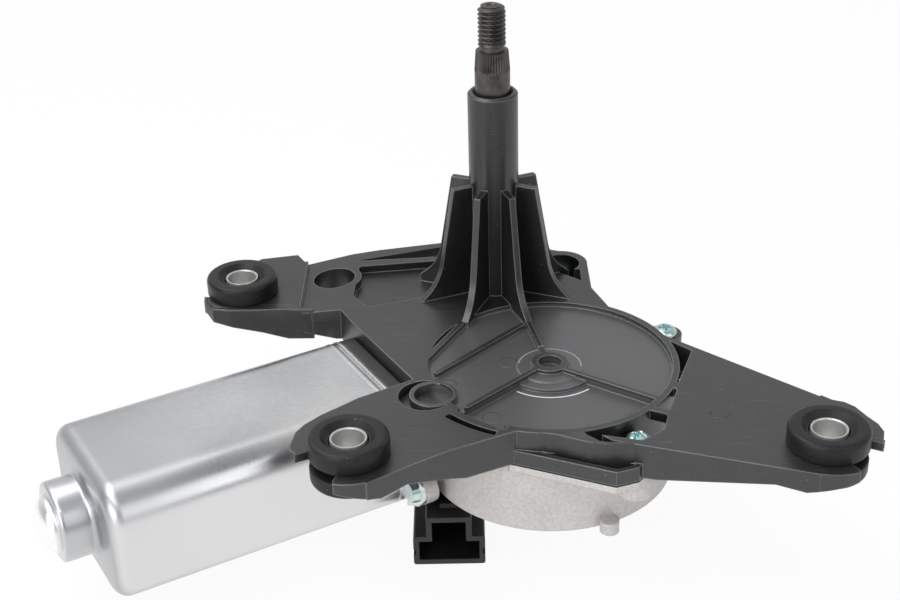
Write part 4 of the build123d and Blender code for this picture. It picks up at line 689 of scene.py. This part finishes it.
# a slab on a plan outline whose top edge is eased in two steps: plan = outline moved towards its middle
def planSlab(name, outline, top, foot, ease=0.35):
    outline = np.array(outline, float)
    towardMiddle = outline.mean(0) - outline
    towardMiddle /= np.linalg.norm(towardMiddle, axis=1)[:, None]
    rings = [np.column_stack([outline + towardMiddle * inset, np.full(len(outline), level)])
             for inset, level in ((0, foot), (0, top - ease), (ease * 0.3, top - ease * 0.3), (ease, top))]
    dressTrim(ringSolid(name, np.array(rings), smooth=True))


dressTrim(gridMesh("wellRim", spun(np.array(trims["wellRim"]), wellCentre, 96)))
planSlab("crescentFloor", **trims["crescentFloor"])
sweptWall("rearApron", **trims["rearApron"])
planSlab("rearHornTop", **trims["rearHornTop"])
sweptWall("pocketWall", **trims["pocketWall"])
planSlab("pocketFill", **trims["pocketFill"])
print("trims made")

# drawn can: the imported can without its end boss, a spun boss with a domed nose in its place, and two lips
can = {"half": (24.3, 17.2), "corner": 10.0, "end": -125.6, "bossR": 11.0, "bossEnd": -134.6, "noseR": 7.9,
       "tip": -139.1, "lips": ((-41.9, 0.5, 0.3), (-44.2, 0.45, 0.28)),  # place along the motor, half width, height
       "axisHigh": -26.0, "axisOff": 30.0, "columns": 112, "sharp": 45}
motorPoint = np.array([*gearCentre, can["axisHigh"]]) + can["axisOff"] * acrossMotor


# local rows (along, side, up) in millimetres carried to the motor's axis
def onMotor(along, side, up):
    along, side, up = np.broadcast_arrays(along, side, up)
    return (motorPoint + along[..., None] * alongMotor + side[..., None] * acrossMotor
            + up[..., None] * np.array([0, 0, 1.0]))


def makeCan():
    c = can
    body = bpy.data.objects.new("canBody", nodes["motor_can"].data.copy())
    bpy.context.scene.collection.objects.link(body)
    work = bmesh.new()
    work.from_mesh(body.data)
    gone = [f for f in work.faces
            if float((np.array(f.calc_center_median()) / mm - motorPoint) @ alongMotor) < c["end"] - 0.5]
    bmesh.ops.delete(work, geom=gone, context="FACES")
    work.to_mesh(body.data)
    work.free()
    # nose: radius = noseR * (1 - s^1.7)^0.55 over the share s of its height, on a boss with a rounded rim
    share = np.linspace(1, 0, 22)
    noseFoot = c["bossEnd"] - 0.5
    nose = np.stack([c["noseR"] * (1 - share**1.7) ** 0.55, noseFoot - share * (noseFoot - c["tip"])], -1)
    boss = roundProfile([(c["noseR"], noseFoot), (c["noseR"] + 0.3, c["bossEnd"], 0.4),
                         (c["bossR"], c["bossEnd"], 2.3), (c["bossR"], c["end"] - 1.2, 0.3),
                         (c["bossR"] + 0.7, c["end"] - 0.35, 0.5), (c["bossR"] + 2.0, c["end"] + 0.1)], 8)
    radius, along = np.concatenate([nose, boss[1:]]).T[..., None]
    angle = np.linspace(0, turn, c["columns"], endpoint=False)
    end = gridMesh("canEnd", onMotor(along, radius * np.cos(angle), radius * np.sin(angle)))
    # lips at the mouth: half-round ridges over the rounded rectangle of the can's section
    corners = np.array([(1, 1), (-1, 1), (-1, -1), (1, -1)])
    quarter = np.radians(90 * np.arange(4)[:, None] + np.linspace(0, 90, 14))
    outSide, outUp = np.cos(quarter).ravel(), np.sin(quarter).ravel()
    side = np.repeat(corners[:, 0] * (c["half"][0] - c["corner"]), 14) + c["corner"] * outSide
    up = np.repeat(corners[:, 1] * (c["half"][1] - c["corner"]), 14) + c["corner"] * outUp
    bend = np.linspace(0, math.pi, 9)[:, None]
    lips = []
    for number, (place, size, proud) in enumerate(c["lips"]):
        out = -0.15 + proud * np.sin(bend)
        lips.append(gridMesh("lip%d" % number, onMotor(place + size * np.cos(bend), side + out * outSide,
                                                       up + out * outUp)))
    piece = joinPieces("canBody", [body, end, *lips])
    piece.data.set_sharp_from_angle(angle=math.radians(c["sharp"]))
    return dress(piece, "can_steel", "root", ["motor_can"])


makeCan()
print("can made")

# floor: matte where it lights the object, plain white paper to the eye and in reflections
ground = {"level": -56.6, "reach": 2500.0, "matte": grey(0.9), "glow": 1.0, "share": 0.93}


# two shaders mixed by a factor
def mixShaders(tree, factor, first, second):
    blend = tree.nodes.new("ShaderNodeMixShader")
    for socket, source in zip(blend.inputs, (factor, first, second)):
        tree.links.new(source, socket)
    return blend.outputs[0]


def makeFloor():
    g = ground
    material = bpy.data.materials.new("floorPaper")
    material.use_nodes = True
    tree = material.node_tree
    tree.nodes.clear()
    matte = tree.nodes.new("ShaderNodeBsdfDiffuse")
    matte.inputs["Color"].default_value = (*g["matte"], 1)
    glow = tree.nodes.new("ShaderNodeEmission")
    glow.inputs["Strength"].default_value = g["glow"]
    path = tree.nodes.new("ShaderNodeLightPath")
    seen = mathNode(tree, "MAXIMUM", path.outputs["Is Camera Ray"], path.outputs["Is Glossy Ray"])
    most = mathNode(tree, "MULTIPLY", seen, g["share"])
    output = tree.nodes.new("ShaderNodeOutputMaterial")
    tree.links.new(mixShaders(tree, most, matte.outputs[0], glow.outputs[0]), output.inputs["Surface"])
    corners = [(x, y, g["level"]) for y in (-g["reach"], g["reach"]) for x in (-g["reach"], g["reach"])]
    mesh = bpy.data.meshes.new("floor")
    mesh.from_pydata((np.array(corners) * mm).tolist(), [], [(0, 1, 3, 2)])
    mesh.materials.append(material)
    floor = bpy.data.objects.new("floor", mesh)
    bpy.context.scene.collection.objects.link(floor)


makeFloor()
print("floor made")

# room light: dim in front, bright over the back wall, by the y and z of the ray's direction
room = {"colour": (0.96, 0.97, 1.0), "ramps": {"Y": (-0.3, 0.75), "Z": (-0.22, 0.22)}, "gain": 0.46, "least": 0.33}


def makeRoom():
    world = bpy.data.worlds.new("studio")
    bpy.context.scene.world = world
    world.use_nodes = True
    tree = world.node_tree
    tree.nodes.clear()
    compass = tree.nodes.new("ShaderNodeTexCoord")
    parts = tree.nodes.new("ShaderNodeSeparateXYZ")
    tree.links.new(compass.outputs["Generated"], parts.inputs[0])
    product = 1.0
    for axis, (low, high) in room["ramps"].items():
        ramp = rampNode(tree, parts.outputs[axis], low, high, 0.0, 1.0)
        ramp.interpolation_type = "SMOOTHSTEP"
        product = mathNode(tree, "MULTIPLY", product, ramp.outputs["Result"])
    lit = tree.nodes.new("ShaderNodeBackground")
    lit.inputs["Color"].default_value = (*room["colour"], 1)
    tree.links.new(mathNode(tree, "MULTIPLY_ADD", product, room["gain"], room["least"]), lit.inputs["Strength"])
    white = tree.nodes.new("ShaderNodeBackground")
    white.inputs["Color"].default_value = (1, 1, 1, 1)
    white.inputs["Strength"].default_value = 1.0
    output = tree.nodes.new("ShaderNodeOutputWorld")
    path = tree.nodes.new("ShaderNodeLightPath")
    seen = mixShaders(tree, path.outputs["Is Camera Ray"], lit.outputs[0], white.outputs[0])
    tree.links.new(seen, output.inputs["Surface"])


makeRoom()
print("room made")

# lamps: place and size in metres, each facing the origin
lamps = {
    "overLamp": {"place": (-0.30, -0.42, 0.85), "size": (0.95, 0.2), "energy": 3.0, "colour": (0.86, 0.91, 1.0)},
    "keyLamp": {"place": (-0.35, 0.10, 0.75), "size": (0.7, 0.5), "energy": 3.2, "colour": (1.0, 0.99, 0.97)},
    "fillLamp": {"place": (0.55, -0.55, 0.45), "size": (0.6, 0.6), "energy": 1.5, "colour": (0.97, 0.98, 1.0)},
    "frontLamp": {"place": (-0.55, -0.7, 0.3), "size": (0.6, 0.5), "energy": 3.2, "colour": (1.0, 1.0, 1.0)},
}


# an object's own axes as columns, with its place, all in metres
def placed(right, up, away, place):
    return Matrix([[float(row) for row in rows] for rows in zip(right, up, away, place)] + [[0, 0, 0, 1]])


def makeLamps():
    for name, settings in lamps.items():
        light = bpy.data.lights.new(name, "AREA")
        light.shape = "RECTANGLE"
        light.size, light.size_y = settings["size"]
        light.energy = settings["energy"]
        light.color = settings["colour"]
        lamp = bpy.data.objects.new(name, light)
        place = np.array(settings["place"])
        away = place / np.linalg.norm(place)
        right = np.cross([0, 0, 1.0], away)
        right /= np.linalg.norm(right)
        lamp.matrix_world = placed(right, np.cross(away, right), away, place)
        bpy.context.scene.collection.objects.link(lamp)


makeLamps()
print("lamps made")

# camera: place in millimetres, angles in degrees; down is the pitch below the horizon
view = {"place": (-6.47, -422.87, 224.4), "heading": 0.98, "down": 28.945, "roll": -1.691, "lens": 64.105}


def makeCamera():
    down, roll, heading = (math.radians(view[key]) for key in ("down", "roll", "heading"))
    right = np.array([1.0, 0, 0])
    up = np.array([0, math.sin(down), math.cos(down)])
    ahead = np.array([0, math.cos(down), -math.sin(down)])
    swing = np.array([[math.cos(heading), -math.sin(heading), 0], [math.sin(heading), math.cos(heading), 0], [0, 0, 1]])
    data = bpy.data.cameras.new("camera")
    data.lens = view["lens"]
    data.sensor_width = 36.0
    data.sensor_fit = "HORIZONTAL"
    data.clip_start, data.clip_end = 0.01, 20.0
    camera = bpy.data.objects.new("camera", data)
    camera.matrix_world = placed(swing @ (right * math.cos(roll) + up * math.sin(roll)),
                                 swing @ (up * math.cos(roll) - right * math.sin(roll)),
                                 -(swing @ ahead), np.array(view["place"]) * mm)
    bpy.context.scene.collection.objects.link(camera)
    bpy.context.scene.camera = camera
    bpy.context.scene.view_settings.view_transform = "Standard"


makeCamera()
print("camera set")
